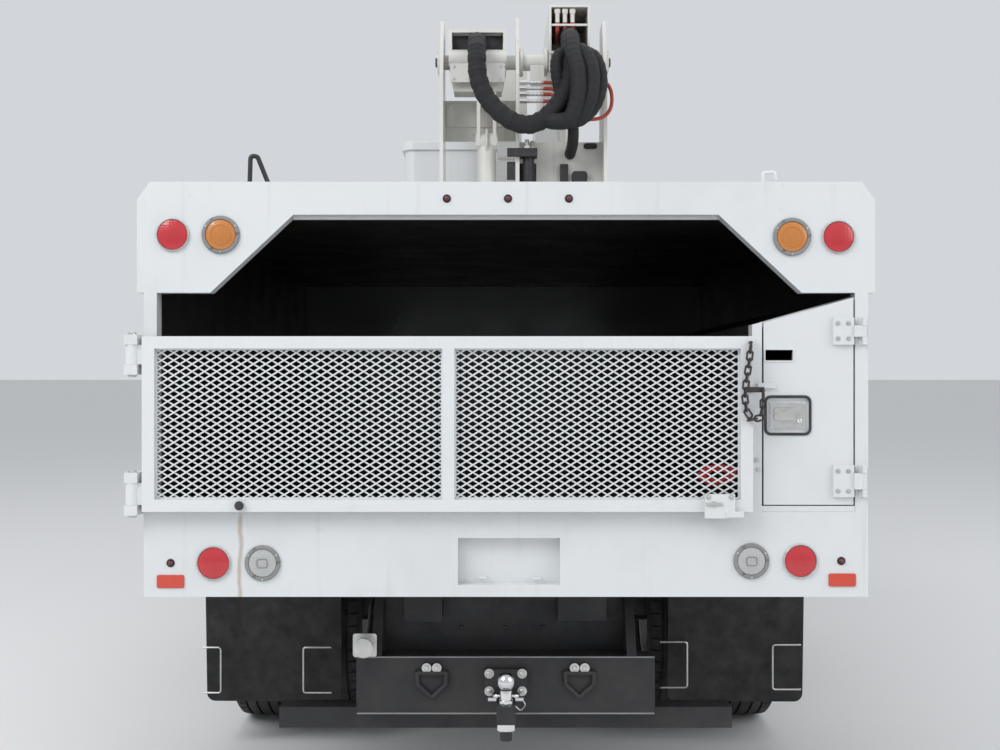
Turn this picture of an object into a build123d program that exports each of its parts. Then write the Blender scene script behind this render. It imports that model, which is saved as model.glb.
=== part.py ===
from build123d import *
import os
from math import cos, sin, radians, hypot

# A tree crew's bucket truck: a two-axle cab truck with a tipping chip box at the back, a turret behind
# the cab and a folding two-piece boom that is stowed forward over the cab, with one bucket.
# Millimetres. X points to the truck's right, Y forward, Z up, the wheels stand on Z = 0.
# Sizes along Y are measured from the chip box's rear face and moved to the middle when saved.

# Chassis
AXLE_REAR_Y = 1750
AXLE_FRONT_Y = 7180
TYRE_R = 505
TYRE_W = 262
TWIN_PITCH = 322
TWIN_INNER_X = 766
FRONT_WHEEL_X = 1012
RIM_R = 288
HUB_R = 110
RAIL_X = 432
RAIL_FLANGE = 76
RAIL_WALL = 10
RAIL_Z0 = 700
RAIL_Z1 = 954
RAIL_REAR_Y = 400
PIN_PLAY = 0.4
RAIL_FRONT_Y = 7950
BUMPER_Y = 8150

# Chip box
BOX_HALF_W = 1220
BOX_LENGTH = 3350
BOX_WALL = 40
BOX_FLOOR_Z0 = 1062
BOX_FLOOR_Z = 1139
BOX_ROOF_Z = 2170
SILL_Z0 = 853
FRAME_DEPTH = 60
FRAME_HALF_W = BOX_HALF_W + 23
HEADER_Z0 = 2140
HEADER_Z1 = 2251
SHOULDER_Z = 1877
OPENING_TOP_HALF = 716
OPENING_LOW_HALF = 996
POST_INNER = BOX_HALF_W - 44
CORNER_CUT = 44
CORNER_CUT_Z = 60
RIB_PROUD = 22
RIB_W = 70
DUMP_PIVOT_Y = 250
DUMP_PIVOT_Z = 1000

# Locker on the box's right, and its rear door
LOCKER_X = BOX_HALF_W - 391
LOCKER_PLATE = 14
LOCKER_TOP_INNER_Z = 1769
LOCKER_TOP_OUTER_Z = 1867
DOOR_X0 = LOCKER_X + 39
DOOR_Z0 = 1163
DOOR_T = 18
DOOR_GAP = 6
DOOR_HINGE_X = BOX_HALF_W - 16

# Gate
GATE_X0 = -BOX_HALF_W + 7
GATE_X1 = LOCKER_X - 6
GATE_Z0 = 1144
GATE_Z1 = 1729
GATE_BAR = 41
GATE_DEPTH = 40
GATE_GAP = 8
GATE_MID_X = -192
GATE_HINGE_X = -BOX_HALF_W - 30
MESH_LONG = 41
MESH_SHORT = 25
MESH_STRAND = 5

# Cab and hood
CAB_BACK_Y = 5330
CAB_COWL_Y = 6790
CAB_HALF_W = 1020
CAB_FLOOR_Z = 1000
CAB_BELT_Z = 1620
CAB_ROOF_Z = 2480
CAB_WALL = 60
HOOD_FRONT_Y = 8020
HOOD_TOP_Z = 1640
HOOD_FRONT_TOP_Z = 1480
HOOD_HALF_W = 620
FENDER_HALF_W = 1150
FENDER_TOP_Z = 1235
FENDER_ARCH_R = 640
HOOD_WALL = 30
HOOD_PIVOT_Y = 7966
HOOD_PIVOT_Z = 775

# Turret and booms
TURRET_X = 137
TURRET_Y = 3890
DECK_Z = 1060
PEDESTAL_TOP_Z = 2210
PLATE_T = 22
PLATE_LEFT_X = -400
PLATE_MID_X = 80
PLATE_RIGHT_X = 655
TURRET_BASE_Z = 2290
TURRET_TOP_Z = TURRET_BASE_Z + 40
BOOM_PIN_Z = 3610
BOOM_PIN_Y = 3830
BOOM_PIN_R = 52
LOWER_X0 = 290
LOWER_X1 = 552
LOWER_Z0 = 3640
LOWER_Z1 = 3950
ELBOW_Y = 8640
ELBOW_Z = 3700
UPPER_X0 = -70
UPPER_X1 = 180
UPPER_H = 240
UPPER_TIP_Y = 4560
BUCKET_X0 = -700
BUCKET_W = 600
BUCKET_Y0 = 4400
BUCKET_L = 610
BUCKET_Z0 = 2262
BUCKET_Z1 = 3205
BUCKET_WALL = 12
BUCKET_PIN_Z = 3500

# Boom lift cylinder, y and z of its foot pin and its rod's eye
LIFT_X = 421
LIFT_FOOT = (4040, 2750)
LIFT_EYE = (4600, 3490)
LIFT_FORK = 44
LIFT_EYE_HALF = 36
LIFT_ROD_R = 30
LIFT_BARREL = 740

# Box hoist cylinder between the rails
HOIST_FOOT = (800, 810)
HOIST_EYE = (2700, 960)
HOIST_FORK = 44
HOIST_EYE_HALF = 36
HOIST_ROD_R = 34
HOIST_PIN_R = 24
HOIST_BARREL = 1500

# Overall reach, for the origin in the middle
HITCH_Y = 230
HITCH_REACH = 300
ELBOW_R = 160
REAR_REACH = HITCH_Y - HITCH_REACH
FRONT_REACH = ELBOW_Y + ELBOW_R
ORIGIN_Y = (REAR_REACH + FRONT_REACH) / 2

os.makedirs("parts", exist_ok=True)


def save(name, shape):
    """Move a piece to the shared origin and write it."""
    moved = Pos(0, -ORIGIN_Y, 0) * shape
    export_step(moved, f"parts/{name}.step")


def block(x0, x1, y0, y1, z0, z1):
    """A box given by its two corners."""
    return Pos((x0 + x1) / 2, (y0 + y1) / 2, (z0 + z1) / 2) * Box(x1 - x0, y1 - y0, z1 - z0)


def outline(points):
    return make_face(Polyline(*points, close=True))


def prism_x(points_yz, x0, x1):
    """An outline in the side view, pushed across the truck."""
    plane = Plane(origin=(x0, 0, 0), x_dir=(0, 1, 0), z_dir=(1, 0, 0))
    return plane.location * extrude(outline(points_yz), amount=x1 - x0)


def prism_y(points_xz, y0, y1):
    """An outline in the rear view, pushed along the truck."""
    plane = Plane(origin=(0, y1, 0), x_dir=(1, 0, 0), z_dir=(0, -1, 0))
    return plane.location * extrude(outline(points_xz), amount=y1 - y0)


def prism_z(points_xy, z0, z1):
    """An outline in the top view, pushed upwards."""
    return Pos(0, 0, z0) * extrude(outline(points_xy), amount=z1 - z0)


def rod_x(y, z, r, x0, x1):
    return Pos((x0 + x1) / 2, y, z) * Rot(0, 90, 0) * Cylinder(r, x1 - x0)


def rod_y(x, z, r, y0, y1):
    return Pos(x, (y0 + y1) / 2, z) * Rot(90, 0, 0) * Cylinder(r, y1 - y0)


def rod_z(x, y, r, z0, z1):
    return Pos(x, y, (z0 + z1) / 2) * Cylinder(r, z1 - z0)


def tube_between(start, end, radius):
    """A round bar from one point to another."""
    a = Vector(*start)
    b = Vector(*end)
    plane = Plane(origin=a, z_dir=(b - a).normalized())
    return plane.location * extrude(Circle(radius), amount=(b - a).length)


# Chassis: rails, bumper, axles
def frame_rails():
    rails = []
    for side in (-1, 1):
        outer = side * RAIL_X
        inner = side * (RAIL_X - RAIL_FLANGE)
        web_in = side * (RAIL_X - RAIL_WALL)
        whole = block(min(outer, inner), max(outer, inner), RAIL_REAR_Y, RAIL_FRONT_Y, RAIL_Z0, RAIL_Z1)
        hollow = block(
            min(web_in, inner) - (1 if side > 0 else 0), max(web_in, inner) + (1 if side < 0 else 0),
            RAIL_REAR_Y - 1, RAIL_FRONT_Y + 1, RAIL_Z0 + RAIL_WALL, RAIL_Z1 - RAIL_WALL,
        )
        rails.append(whole - hollow)
    shape = rails[0] + rails[1]
    for y in CROSSMEMBER_Y:
        shape += block(
            -RAIL_X + RAIL_WALL, RAIL_X - RAIL_WALL, y - CROSSMEMBER_W / 2, y + CROSSMEMBER_W / 2,
            RAIL_Z0 + CROSSMEMBER_INSET, RAIL_Z1 - CROSSMEMBER_INSET,
        )
    for side in (-1, 1):
        high = side * (RAIL_X - RAIL_FLANGE - PIN_PLAY)
        low = side * (RAIL_X - RAIL_FLANGE - 16)
        pin_out = side * (RAIL_X + 6)
        shape += prism_x([
            (DUMP_PIVOT_Y - 45, DUMP_PIVOT_Z - 40), (DUMP_PIVOT_Y - 45, DUMP_PIVOT_Z + 32),
            (DUMP_PIVOT_Y + 40, DUMP_PIVOT_Z + 32), (RAIL_REAR_Y + 120, RAIL_Z1 - 10),
            (RAIL_REAR_Y + 120, RAIL_Z0 + 60), (RAIL_REAR_Y, RAIL_Z0 + 60),
        ], min(low, high), max(low, high))
        shape += block(
            min(low, side * (RAIL_X - 1)), max(low, side * (RAIL_X - 1)),
            RAIL_REAR_Y + 10, RAIL_REAR_Y + 110, RAIL_Z0 + 70, RAIL_Z1 - 30,
        )
        shape += rod_x(DUMP_PIVOT_Y, DUMP_PIVOT_Z, DUMP_PIN_R, min(low, pin_out), max(low, pin_out))
    for side in (-1, 1):
        lug = (side * HOOD_LUG_X, side * (HOOD_LUG_X + 17))
        shape += block(
            min(lug), max(lug), CROSSMEMBER_Y[-1], HOOD_PIVOT_Y,
            HOOD_PIVOT_Z - HOOD_EAR_R, HOOD_PIVOT_Z + HOOD_EAR_R,
        )
        shape += rod_x(HOOD_PIVOT_Y, HOOD_PIVOT_Z, HOOD_EAR_R, min(lug), max(lug))
        pin = (side * (HOOD_LUG_X - 40), side * (HOOD_LUG_X + 17))
        shape += rod_x(HOOD_PIVOT_Y, HOOD_PIVOT_Z, HOOD_PIN_R, min(pin), max(pin))
    for x in (-HOIST_FORK - 20, HOIST_FORK):
        shape += block(x, x + 20, HOIST_FOOT[0] - 50, HOIST_FOOT[0] + 50, RAIL_Z0 + 30, HOIST_FOOT[1] + 50)
    shape += rod_x(HOIST_FOOT[0], HOIST_FOOT[1], HOIST_PIN_R, -HOIST_FORK - 1, HOIST_FORK + 1)
    shape += block(
        -RAIL_X + RAIL_WALL, RAIL_X - RAIL_WALL, HOIST_FOOT[0] - 50, HOIST_FOOT[0] + 50,
        RAIL_Z0 + 10, RAIL_Z0 + 40,
    )
    return shape


DUMP_PIN_R = 20
CROSSMEMBER_Y = (460, 3000, 4700, 7900)
CROSSMEMBER_W = 90
CROSSMEMBER_INSET = 50


def tyre(x):
    """A tyre as a turned section: tread band, shoulders, bowed walls and bead."""
    half = TYRE_W / 2
    section = [
        (-half * 0.72, RIM_R + 6), (-half, RIM_R + 70), (-half, TYRE_R - 70), (-half * 0.86, TYRE_R - 14),
        (-half * 0.7, TYRE_R), (half * 0.7, TYRE_R), (half * 0.86, TYRE_R - 14), (half, TYRE_R - 70),
        (half, RIM_R + 70), (half * 0.72, RIM_R + 6),
    ]
    face = outline(section)
    ring = revolve(face, axis=Axis.X)
    return Pos(x, 0, 0) * ring


RIM_W = 0.72 * TYRE_W
DISC_T = 16


def rim(x, disc_offset, hub_length):
    """Rim barrel with a dished disc, hand holes and a hub; disc_offset is the disc's place across."""
    half = RIM_W / 2
    barrel = revolve(
        outline([(-half, RIM_R + 5), (-half, RIM_R - 26), (half, RIM_R - 26), (half, RIM_R + 5)]),
        axis=Axis.X,
    )
    disc = rod_x(0, 0, RIM_R - 25, disc_offset - DISC_T / 2, disc_offset + DISC_T / 2)
    for turn in range(HAND_HOLES):
        angle = radians(turn * 360 / HAND_HOLES)
        disc -= rod_x(
            HAND_HOLE_PITCH * cos(angle), HAND_HOLE_PITCH * sin(angle), HAND_HOLE_R,
            disc_offset - DISC_T, disc_offset + DISC_T,
        )
    hub = rod_x(0, 0, HUB_R, min(disc_offset, hub_length), max(disc_offset, hub_length))
    return Pos(x, 0, 0) * (barrel + disc + hub)


FRONT_DISC = 60
REAR_DISC = 82
HAND_HOLES = 5
HAND_HOLE_PITCH = 205
HAND_HOLE_R = 34


def place_wheel(shape, y):
    return Pos(0, y, TYRE_R) * shape


def front_wheel(side):
    """Tyre and rim of a front wheel; side is -1 on the left, 1 on the right."""
    rubber = tyre(side * FRONT_WHEEL_X)
    wheel = rim(side * FRONT_WHEEL_X, side * FRONT_DISC, side * (FRONT_DISC + 45))
    return place_wheel(rubber, AXLE_FRONT_Y), place_wheel(wheel, AXLE_FRONT_Y)


def rear_wheel(side):
    """Twin tyres, and the two rims that share one hub."""
    inner = side * TWIN_INNER_X
    outer = side * (TWIN_INNER_X + TWIN_PITCH)
    rubber = Compound(children=[
        place_wheel(tyre(inner), AXLE_REAR_Y), place_wheel(tyre(outer), AXLE_REAR_Y),
    ])
    wheels = rim(inner, side * REAR_DISC, side * (REAR_DISC + 20))
    wheels += rim(outer, -side * REAR_DISC, side * 30)
    spool = (inner + side * REAR_DISC, outer - side * REAR_DISC)
    wheels += rod_x(0, 0, HUB_R, min(spool), max(spool))
    return rubber, place_wheel(wheels, AXLE_REAR_Y)


KNUCKLE_X = 790
KNUCKLE_R = 45
KINGPIN_HALF = 110


def knuckle(side):
    """Kingpin boss and the stub that the front wheel turns on."""
    boss = rod_z(side * KNUCKLE_X, AXLE_FRONT_Y, KNUCKLE_R, TYRE_R - KINGPIN_HALF, TYRE_R + KINGPIN_HALF)
    arm = block(
        min(side * KNUCKLE_X, side * (KNUCKLE_X - 20)), max(side * KNUCKLE_X, side * (KNUCKLE_X - 20)),
        AXLE_FRONT_Y - 230, AXLE_FRONT_Y, TYRE_R - 90, TYRE_R - 62,
    )
    reach = side * (FRONT_WHEEL_X + FRONT_DISC - DISC_T / 2 - PIN_PLAY)
    stub = rod_x(AXLE_FRONT_Y, TYRE_R, 52, min(side * KNUCKLE_X, reach), max(side * KNUCKLE_X, reach))
    return boss + arm + stub


FRONT_SPRING_X = 395
SPRING_W = 80


def leaf_spring(x, y, half_length, z_axle, z_end):
    """A bowed stack of leaves under a rail, with eyes at both ends."""
    arc_top = ThreePointArc((y - half_length, z_end), (y, z_axle), (y + half_length, z_end))
    arc_low = ThreePointArc((y + half_length, z_end - 26), (y, z_axle - 60), (y - half_length, z_end - 26))
    ends = [
        Line((y + half_length, z_end), (y + half_length, z_end - 26)),
        Line((y - half_length, z_end - 26), (y - half_length, z_end)),
    ]
    face = make_face(Wire([arc_top.edge(), ends[0].edge(), arc_low.edge(), ends[1].edge()]))
    plane = Plane(origin=(x - SPRING_W / 2, 0, 0), x_dir=(0, 1, 0), z_dir=(1, 0, 0))
    return plane.location * extrude(face, amount=SPRING_W)


def front_axle():
    """Dropped beam with fork ends that hold the kingpins, and a spring over each side."""
    z = TYRE_R
    beam = prism_y([
        (-KNUCKLE_X + 60, z + 60), (-KNUCKLE_X + 60, z - 60), (-600, z - 75), (-480, z - 140),
        (480, z - 140), (600, z - 75), (KNUCKLE_X - 60, z - 60), (KNUCKLE_X - 60, z + 60),
        (600, z + 40), (480, z - 20), (-480, z - 20), (-600, z + 40),
    ], AXLE_FRONT_Y - 45, AXLE_FRONT_Y + 45)
    for side in (-1, 1):
        near = KINGPIN_HALF + PIN_PLAY
        far = KINGPIN_HALF + 40
        for low, high in ((-far, -near), (near, far)):
            beam += block(
                min(side * (KNUCKLE_X + 45), side * (KNUCKLE_X - 115)),
                max(side * (KNUCKLE_X + 45), side * (KNUCKLE_X - 115)),
                AXLE_FRONT_Y - 45, AXLE_FRONT_Y + 45, z + low, z + high,
            )
        beam += block(
            min(side * (KNUCKLE_X - 75), side * (KNUCKLE_X - 115)),
            max(side * (KNUCKLE_X - 75), side * (KNUCKLE_X - 115)),
            AXLE_FRONT_Y - 45, AXLE_FRONT_Y + 45, z - KINGPIN_HALF - 40, z + KINGPIN_HALF + 40,
        )
        beam += leaf_spring(side * FRONT_SPRING_X, AXLE_FRONT_Y, 640, z + 60, RAIL_Z0)
        beam += block(
            side * FRONT_SPRING_X - 50, side * FRONT_SPRING_X + 50,
            AXLE_FRONT_Y - 80, AXLE_FRONT_Y + 80, z - 60, z + 30,
        )
    return beam


SHAFT_R = 50
GEARBOX_Y = 5900


def rear_axle():
    """Axle tube, differential, springs and the shaft from the gearbox."""
    z = TYRE_R
    end = TWIN_INNER_X + REAR_DISC - DISC_T / 2 - PIN_PLAY
    shape = rod_x(AXLE_REAR_Y, z, 70, -end, end)
    bowl = revolve(outline([
        (-230, 0), (-230, 75), (-150, 160), (-70, 205), (70, 205), (150, 160), (230, 75), (230, 0),
    ]), axis=Axis.X)
    shape += Pos(0, AXLE_REAR_Y, z) * bowl
    shape += rod_y(0, z + 30, 105, AXLE_REAR_Y + 100, AXLE_REAR_Y + 320)
    shaft_z = RAIL_Z0 + 60
    shape += tube_between((0, AXLE_REAR_Y + 300, z + 30), (0, GEARBOX_Y - 15, shaft_z), SHAFT_R)
    shape += rod_y(0, shaft_z, SHAFT_R + 16, GEARBOX_Y - 30, GEARBOX_Y)
    for side in (-1, 1):
        x = side * (RAIL_X + 55)
        shape += leaf_spring(x, AXLE_REAR_Y, 700, z + 130, RAIL_Z0 + 110)
        shape += block(x - 50, x + 50, AXLE_REAR_Y - 90, AXLE_REAR_Y + 90, z - 80, z + 100)
        for end_y in (AXLE_REAR_Y - 700, AXLE_REAR_Y + 700):
            low = side * RAIL_X
            high = side * (RAIL_X + 95)
            shape += block(
                min(low, high), max(low, high), end_y - 50, end_y + 50, RAIL_Z0 + 70, RAIL_Z0 + 180,
            )
    return shape


HITCH_HALF_W = 530
HITCH_Z0 = 395
HITCH_Z1 = 600
HITCH_T = 22
UNDERRIDE_HALF_W = 815
UNDERRIDE_Z0 = 330


def rear_hitch():
    """Channel plate under the tail with two tow rings, a ball mount, and the bar across below it."""
    plate = block(-HITCH_HALF_W, HITCH_HALF_W, HITCH_Y, HITCH_Y + HITCH_T, HITCH_Z0, HITCH_Z1)
    plate += block(-HITCH_HALF_W, HITCH_HALF_W, HITCH_Y, HITCH_Y + 90, HITCH_Z1 - 14, HITCH_Z1)
    plate += block(-HITCH_HALF_W, HITCH_HALF_W, HITCH_Y, HITCH_Y + 90, HITCH_Z0, HITCH_Z0 + 14)
    for side in (-1, 1):
        x = side * (RAIL_X + 22)
        plate += prism_x([
            (HITCH_Y + 8, HITCH_Z0), (HITCH_Y + 110, HITCH_Z0), (HITCH_Y + 420, RAIL_Z0 + 30),
            (HITCH_Y + 420, RAIL_Z1 - 20), (HITCH_Y + 180, RAIL_Z1 - 20), (HITCH_Y + 8, HITCH_Z1),
        ], x - 22, x + 12)
        plate += tow_ring(side * TOW_RING_X)
    plate += block(
        -UNDERRIDE_HALF_W, UNDERRIDE_HALF_W, HITCH_Y + 60, HITCH_Y + 160, UNDERRIDE_Z0, HITCH_Z0 + 10,
    )
    plate += block(-75, 75, HITCH_Y - 26, HITCH_Y + 1, 470, 560)
    plate += block(-32, 32, HITCH_Y - HITCH_REACH, HITCH_Y, 440, 500)
    plate += rod_z(0, HITCH_Y - 260, 20, 380, 560) + Pos(0, HITCH_Y - 260, 575) * Sphere(30)
    return plate


TOW_RING_X = 262
TOW_RING_R = 9


def tow_ring(x):
    """A D-shaped ring on the hitch plate, its flat bar at the top."""
    z = 545
    y = HITCH_Y - TOW_RING_R - 2
    parts = tube_between((x - 52, y, z), (x + 52, y, z), TOW_RING_R)
    for side in (-1, 1):
        parts += tube_between((x + side * 52, y, z + 4), (x + side * 50, y, z - 42), TOW_RING_R)
        parts += tube_between((x + side * 50, y, z - 42), (x, y, z - 88), TOW_RING_R)
    return parts + block(x - 30, x + 30, y - 4, HITCH_Y + 1, z - 10, z + 26)


FLAP_X0 = 655
FLAP_W = 560
FLAP_T = 14
FLAP_Y = 1120
FLAP_Z0 = 290
FLAP_CORNER = 70


def mud_flaps():
    """Two rubber flaps, each clamped under an arm that reaches out from the rail."""
    flaps = []
    for side in (-1, 1):
        near = side * FLAP_X0
        far = side * (FLAP_X0 + FLAP_W)
        flap = prism_y([
            (near, FLAP_Z0), (far - side * FLAP_CORNER, FLAP_Z0), (far, FLAP_Z0 + FLAP_CORNER),
            (far, RAIL_Z1), (near, RAIL_Z1),
        ], FLAP_Y, FLAP_Y + FLAP_T)
        arm = block(
            min(side * RAIL_X, side * (FLAP_X0 + FLAP_W)), max(side * RAIL_X, side * (FLAP_X0 + FLAP_W)),
            FLAP_Y + FLAP_T, FLAP_Y + FLAP_T + 50, RAIL_Z1 - 60, RAIL_Z1 - 10,
        )
        flaps.append(flap + arm)
    return Compound(children=flaps)


TANK_TOP_Z = 930
TANK_BOTTOM_Z = 480


def fuel_tank():
    """A step tank hung on the left rail under the cab, with two straps."""
    x0 = -RAIL_X - 560
    tank = block(x0, -RAIL_X - 20, 5350, 6350, TANK_BOTTOM_Z, TANK_TOP_Z)
    tank = fillet(tank.edges().filter_by(Axis.Y), 90)
    for y in (5550, 6150):
        tank += block(-RAIL_X - 30, -RAIL_X, y - 40, y + 40, RAIL_Z0 + 20, 900)
    return tank


def battery_box():
    """The step box on the right rail, of the same height as the tank."""
    box = block(RAIL_X + 20, RAIL_X + 580, 5500, 6300, TANK_BOTTOM_Z, TANK_TOP_Z)
    box = chamfer(box.edges().filter_by(Axis.Y), 25)
    return box + block(RAIL_X, RAIL_X + 30, 5600, 6200, RAIL_Z0 + 20, 900)


BUMPER_HALF_W = 1160
BUMPER_Z0 = 440
BUMPER_Z1 = 725


def front_bumper():
    """A bent steel bumper with swept ends, on two brackets from the rails."""
    y0 = BUMPER_Y
    bar = prism_z([
        (-BUMPER_HALF_W, y0 - 190), (-BUMPER_HALF_W, y0 - 60), (-860, y0 + 90), (860, y0 + 90),
        (BUMPER_HALF_W, y0 - 60), (BUMPER_HALF_W, y0 - 190), (BUMPER_HALF_W - 30, y0 - 190),
        (BUMPER_HALF_W - 30, y0 - 75), (850, y0 + 60), (-850, y0 + 60),
        (-BUMPER_HALF_W + 30, y0 - 75), (-BUMPER_HALF_W + 30, y0 - 190),
    ], BUMPER_Z0, BUMPER_Z1)
    for side in (-1, 1):
        x = side * (RAIL_X - 38)
        bar += block(x - 30, x + 30, RAIL_FRONT_Y - 90, y0 + 70, BUMPER_Z1 - 90, RAIL_Z0)
        bar += block(x - 30, x + 30, RAIL_FRONT_Y, y0 + 70, BUMPER_Z1 - 90, BUMPER_Z1)
    return bar


# Cab: floor, cowl with dashboard, walls, roof, glass, seats
def cab_floor():
    floor = block(-CAB_HALF_W, CAB_HALF_W, CAB_BACK_Y, CAB_COWL_Y, CAB_FLOOR_Z - 40, CAB_FLOOR_Z + 20)
    for side in (-1, 1):
        x = side * (RAIL_X - 38)
        for y in CAB_MOUNT_Y:
            floor += block(x - 34, x + 34, y - 60, y + 60, RAIL_Z1 + PIN_PLAY, CAB_FLOOR_Z - 39)
    return floor


CAB_MOUNT_Y = (CAB_BACK_Y + 180, CAB_COWL_Y - 180)


def side_outline():
    """The cab's side view: upright back, raked windscreen pillar, cowl; in y and z."""
    return [
        (CAB_BACK_Y, CAB_FLOOR_Z + 20), (CAB_COWL_Y, CAB_FLOOR_Z + 20), (CAB_COWL_Y, CAB_BELT_Z + 40),
        (CAB_COWL_Y - 440, CAB_ROOF_Z - 60), (CAB_BACK_Y, CAB_ROOF_Z - 60),
    ]


DOOR_REAR_Y = CAB_BACK_Y + 230
DOOR_FRONT_Y = CAB_COWL_Y - 90
CAB_DOOR_Z0 = CAB_FLOOR_Z + 60
CAB_DOOR_Z1 = CAB_ROOF_Z - 130
CAB_DOOR_GAP = 7


def door_outline(gap):
    """The cab door's side view, drawn in by the gap."""
    rake = (440 - 90) / (CAB_DOOR_Z1 - CAB_BELT_Z)
    top_y = DOOR_FRONT_Y - (CAB_DOOR_Z1 - CAB_BELT_Z) * rake
    return [
        (DOOR_REAR_Y + gap, CAB_DOOR_Z0 + gap), (DOOR_FRONT_Y - gap, CAB_DOOR_Z0 + gap),
        (DOOR_FRONT_Y - gap, CAB_BELT_Z), (top_y - gap, CAB_DOOR_Z1 - gap),
        (DOOR_REAR_Y + gap, CAB_DOOR_Z1 - gap),
    ]


def side_window_outline():
    top_y = DOOR_FRONT_Y - 350
    return [
        (DOOR_REAR_Y + 80, CAB_BELT_Z + 10), (DOOR_FRONT_Y - 100, CAB_BELT_Z + 10),
        (top_y - 60, CAB_DOOR_Z1 - 70), (DOOR_REAR_Y + 80, CAB_DOOR_Z1 - 70),
    ]


CAB_HINGE_Z = (1200, 1480)
CAB_HINGE_H = 60
CAB_HINGE_R = 13
CAB_HINGE_PIN_R = 5


def cab_side(side):
    """The ring round the door: sill, pillars, roof rail, and the fixed half of the door's hinges."""
    x0 = min(side * CAB_HALF_W, side * (CAB_HALF_W - CAB_WALL))
    x1 = max(side * CAB_HALF_W, side * (CAB_HALF_W - CAB_WALL))
    ring = prism_x(side_outline(), x0, x1) - prism_x(door_outline(0), x0 - 1, x1 + 1)
    x = side * CAB_HALF_W
    for z in CAB_HINGE_Z:
        top = z + CAB_HINGE_H
        ring -= rod_z(x, DOOR_FRONT_Y, CAB_HINGE_R + 5, z - 5, top + 5)
        ring += rod_z(x, DOOR_FRONT_Y, CAB_HINGE_PIN_R, z - 25, top + 25)
        for low in (z - 30, top + 5):
            ring += rod_z(x, DOOR_FRONT_Y, CAB_HINGE_R, low, low + 25)
    return ring


def cab_back_wall():
    x = CAB_HALF_W - CAB_WALL
    wall = block(-x, x, CAB_BACK_Y, CAB_BACK_Y + CAB_WALL, CAB_FLOOR_Z + 20, CAB_ROOF_Z - 60)
    return wall - block(-560, 560, CAB_BACK_Y - 1, CAB_BACK_Y + CAB_WALL + 1, 1720, 2200)


def cab_roof():
    """A crowned roof panel that overhangs the sides a little."""
    y0 = CAB_BACK_Y
    y1 = CAB_COWL_Y - 440 + 30
    z = CAB_ROOF_Z - 60
    roof = block(-CAB_HALF_W, CAB_HALF_W, y0, y1, z, CAB_ROOF_Z + 10)
    return fillet(roof.edges().filter_by(Axis.Y).group_by(Axis.Z)[-1], 45)


def cab_cowl():
    """Firewall, cowl and dashboard, with the steering wheel on its column."""
    x = CAB_HALF_W - CAB_WALL
    wall = block(-x, x, CAB_COWL_Y - CAB_WALL, CAB_COWL_Y, CAB_FLOOR_Z + 20, CAB_BELT_Z)
    dash = prism_x([
        (CAB_COWL_Y - CAB_WALL, 1330), (CAB_COWL_Y - 330, 1330), (CAB_COWL_Y - 360, 1430),
        (CAB_COWL_Y - 300, 1560), (CAB_COWL_Y - CAB_WALL, CAB_BELT_Z),
    ], -x, x)
    shape = wall + dash
    centre = (-450, CAB_COWL_Y - 520, 1560)
    shape += tube_between((-450, CAB_COWL_Y - 320, 1440), centre, 28)
    wheel = Plane(origin=centre, z_dir=(0, -0.857, 0.515)).location * (
        Torus(225, 15) + Box(430, 40, 16) + Cylinder(60, 30)
    )
    return shape + wheel


def cab_seats():
    """Two seats: cushion, leaning back and head rest on a base."""
    seats = []
    for x in (-450, 450):
        base = block(x - 180, x + 180, 5560, 5980, CAB_FLOOR_Z + 20, 1290)
        cushion = block(x - 250, x + 250, 5540, 6040, 1290, 1420)
        back = prism_x([(5540, 1420), (5660, 1420), (5560, 2080), (5470, 2080)], x - 240, x + 240)
        head = block(x - 130, x + 130, 5475, 5560, 2080, 2240)
        seats.append(base + cushion + back + head)
    return Compound(children=seats)


GLASS_T = 8


def cab_glass():
    """Windscreen between the pillars and the rear window."""
    x = CAB_HALF_W - CAB_WALL
    rake_y = -440
    rise = (CAB_ROOF_Z - 60) - (CAB_BELT_Z + 40)
    y = CAB_COWL_Y - 45
    screen = prism_x([
        (y, CAB_BELT_Z), (y + GLASS_T, CAB_BELT_Z), (y + GLASS_T + rake_y, CAB_BELT_Z + rise + 30),
        (y + rake_y, CAB_BELT_Z + rise + 30),
    ], -x + 1, x - 1)
    mid = CAB_BACK_Y + CAB_WALL / 2
    back = block(-560, 560, mid, mid + GLASS_T, 1720, 2200)
    return Compound(children=[screen, back])


def cab_door(side):
    """One door as thick as the cab wall, its window cut, with a mirror on an arm."""
    x0 = min(side * CAB_HALF_W, side * (CAB_HALF_W - CAB_WALL))
    x1 = max(side * CAB_HALF_W, side * (CAB_HALF_W - CAB_WALL))
    door = prism_x(door_outline(CAB_DOOR_GAP), x0, x1)
    door -= prism_x(side_window_outline(), x0 - 1, x1 + 1)
    for z in CAB_HINGE_Z:
        for low in (z - 30, z + CAB_HINGE_H):
            door -= rod_z(side * CAB_HALF_W, DOOR_FRONT_Y, CAB_HINGE_R + 5, low, low + 30)
        door += rod_z(side * CAB_HALF_W, DOOR_FRONT_Y, CAB_HINGE_R, z, z + CAB_HINGE_H)
        bore_r = CAB_HINGE_PIN_R + PIN_PLAY
        door -= rod_z(side * CAB_HALF_W, DOOR_FRONT_Y, bore_r, z - 1, z + CAB_HINGE_H + 1)
    mirror_x = side * (CAB_HALF_W + 180)
    y = DOOR_FRONT_Y - 150
    for z, back in ((1680, 150), (2080, 320)):
        start = (side * (CAB_HALF_W - 20), DOOR_FRONT_Y - back, z)
        door += tube_between(start, (mirror_x, y, z), 12)
    door += block(
        min(mirror_x - side * 90, mirror_x + side * 90), max(mirror_x - side * 90, mirror_x + side * 90),
        y - 30, y + 30, 1660, 2100,
    )
    return door


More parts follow.
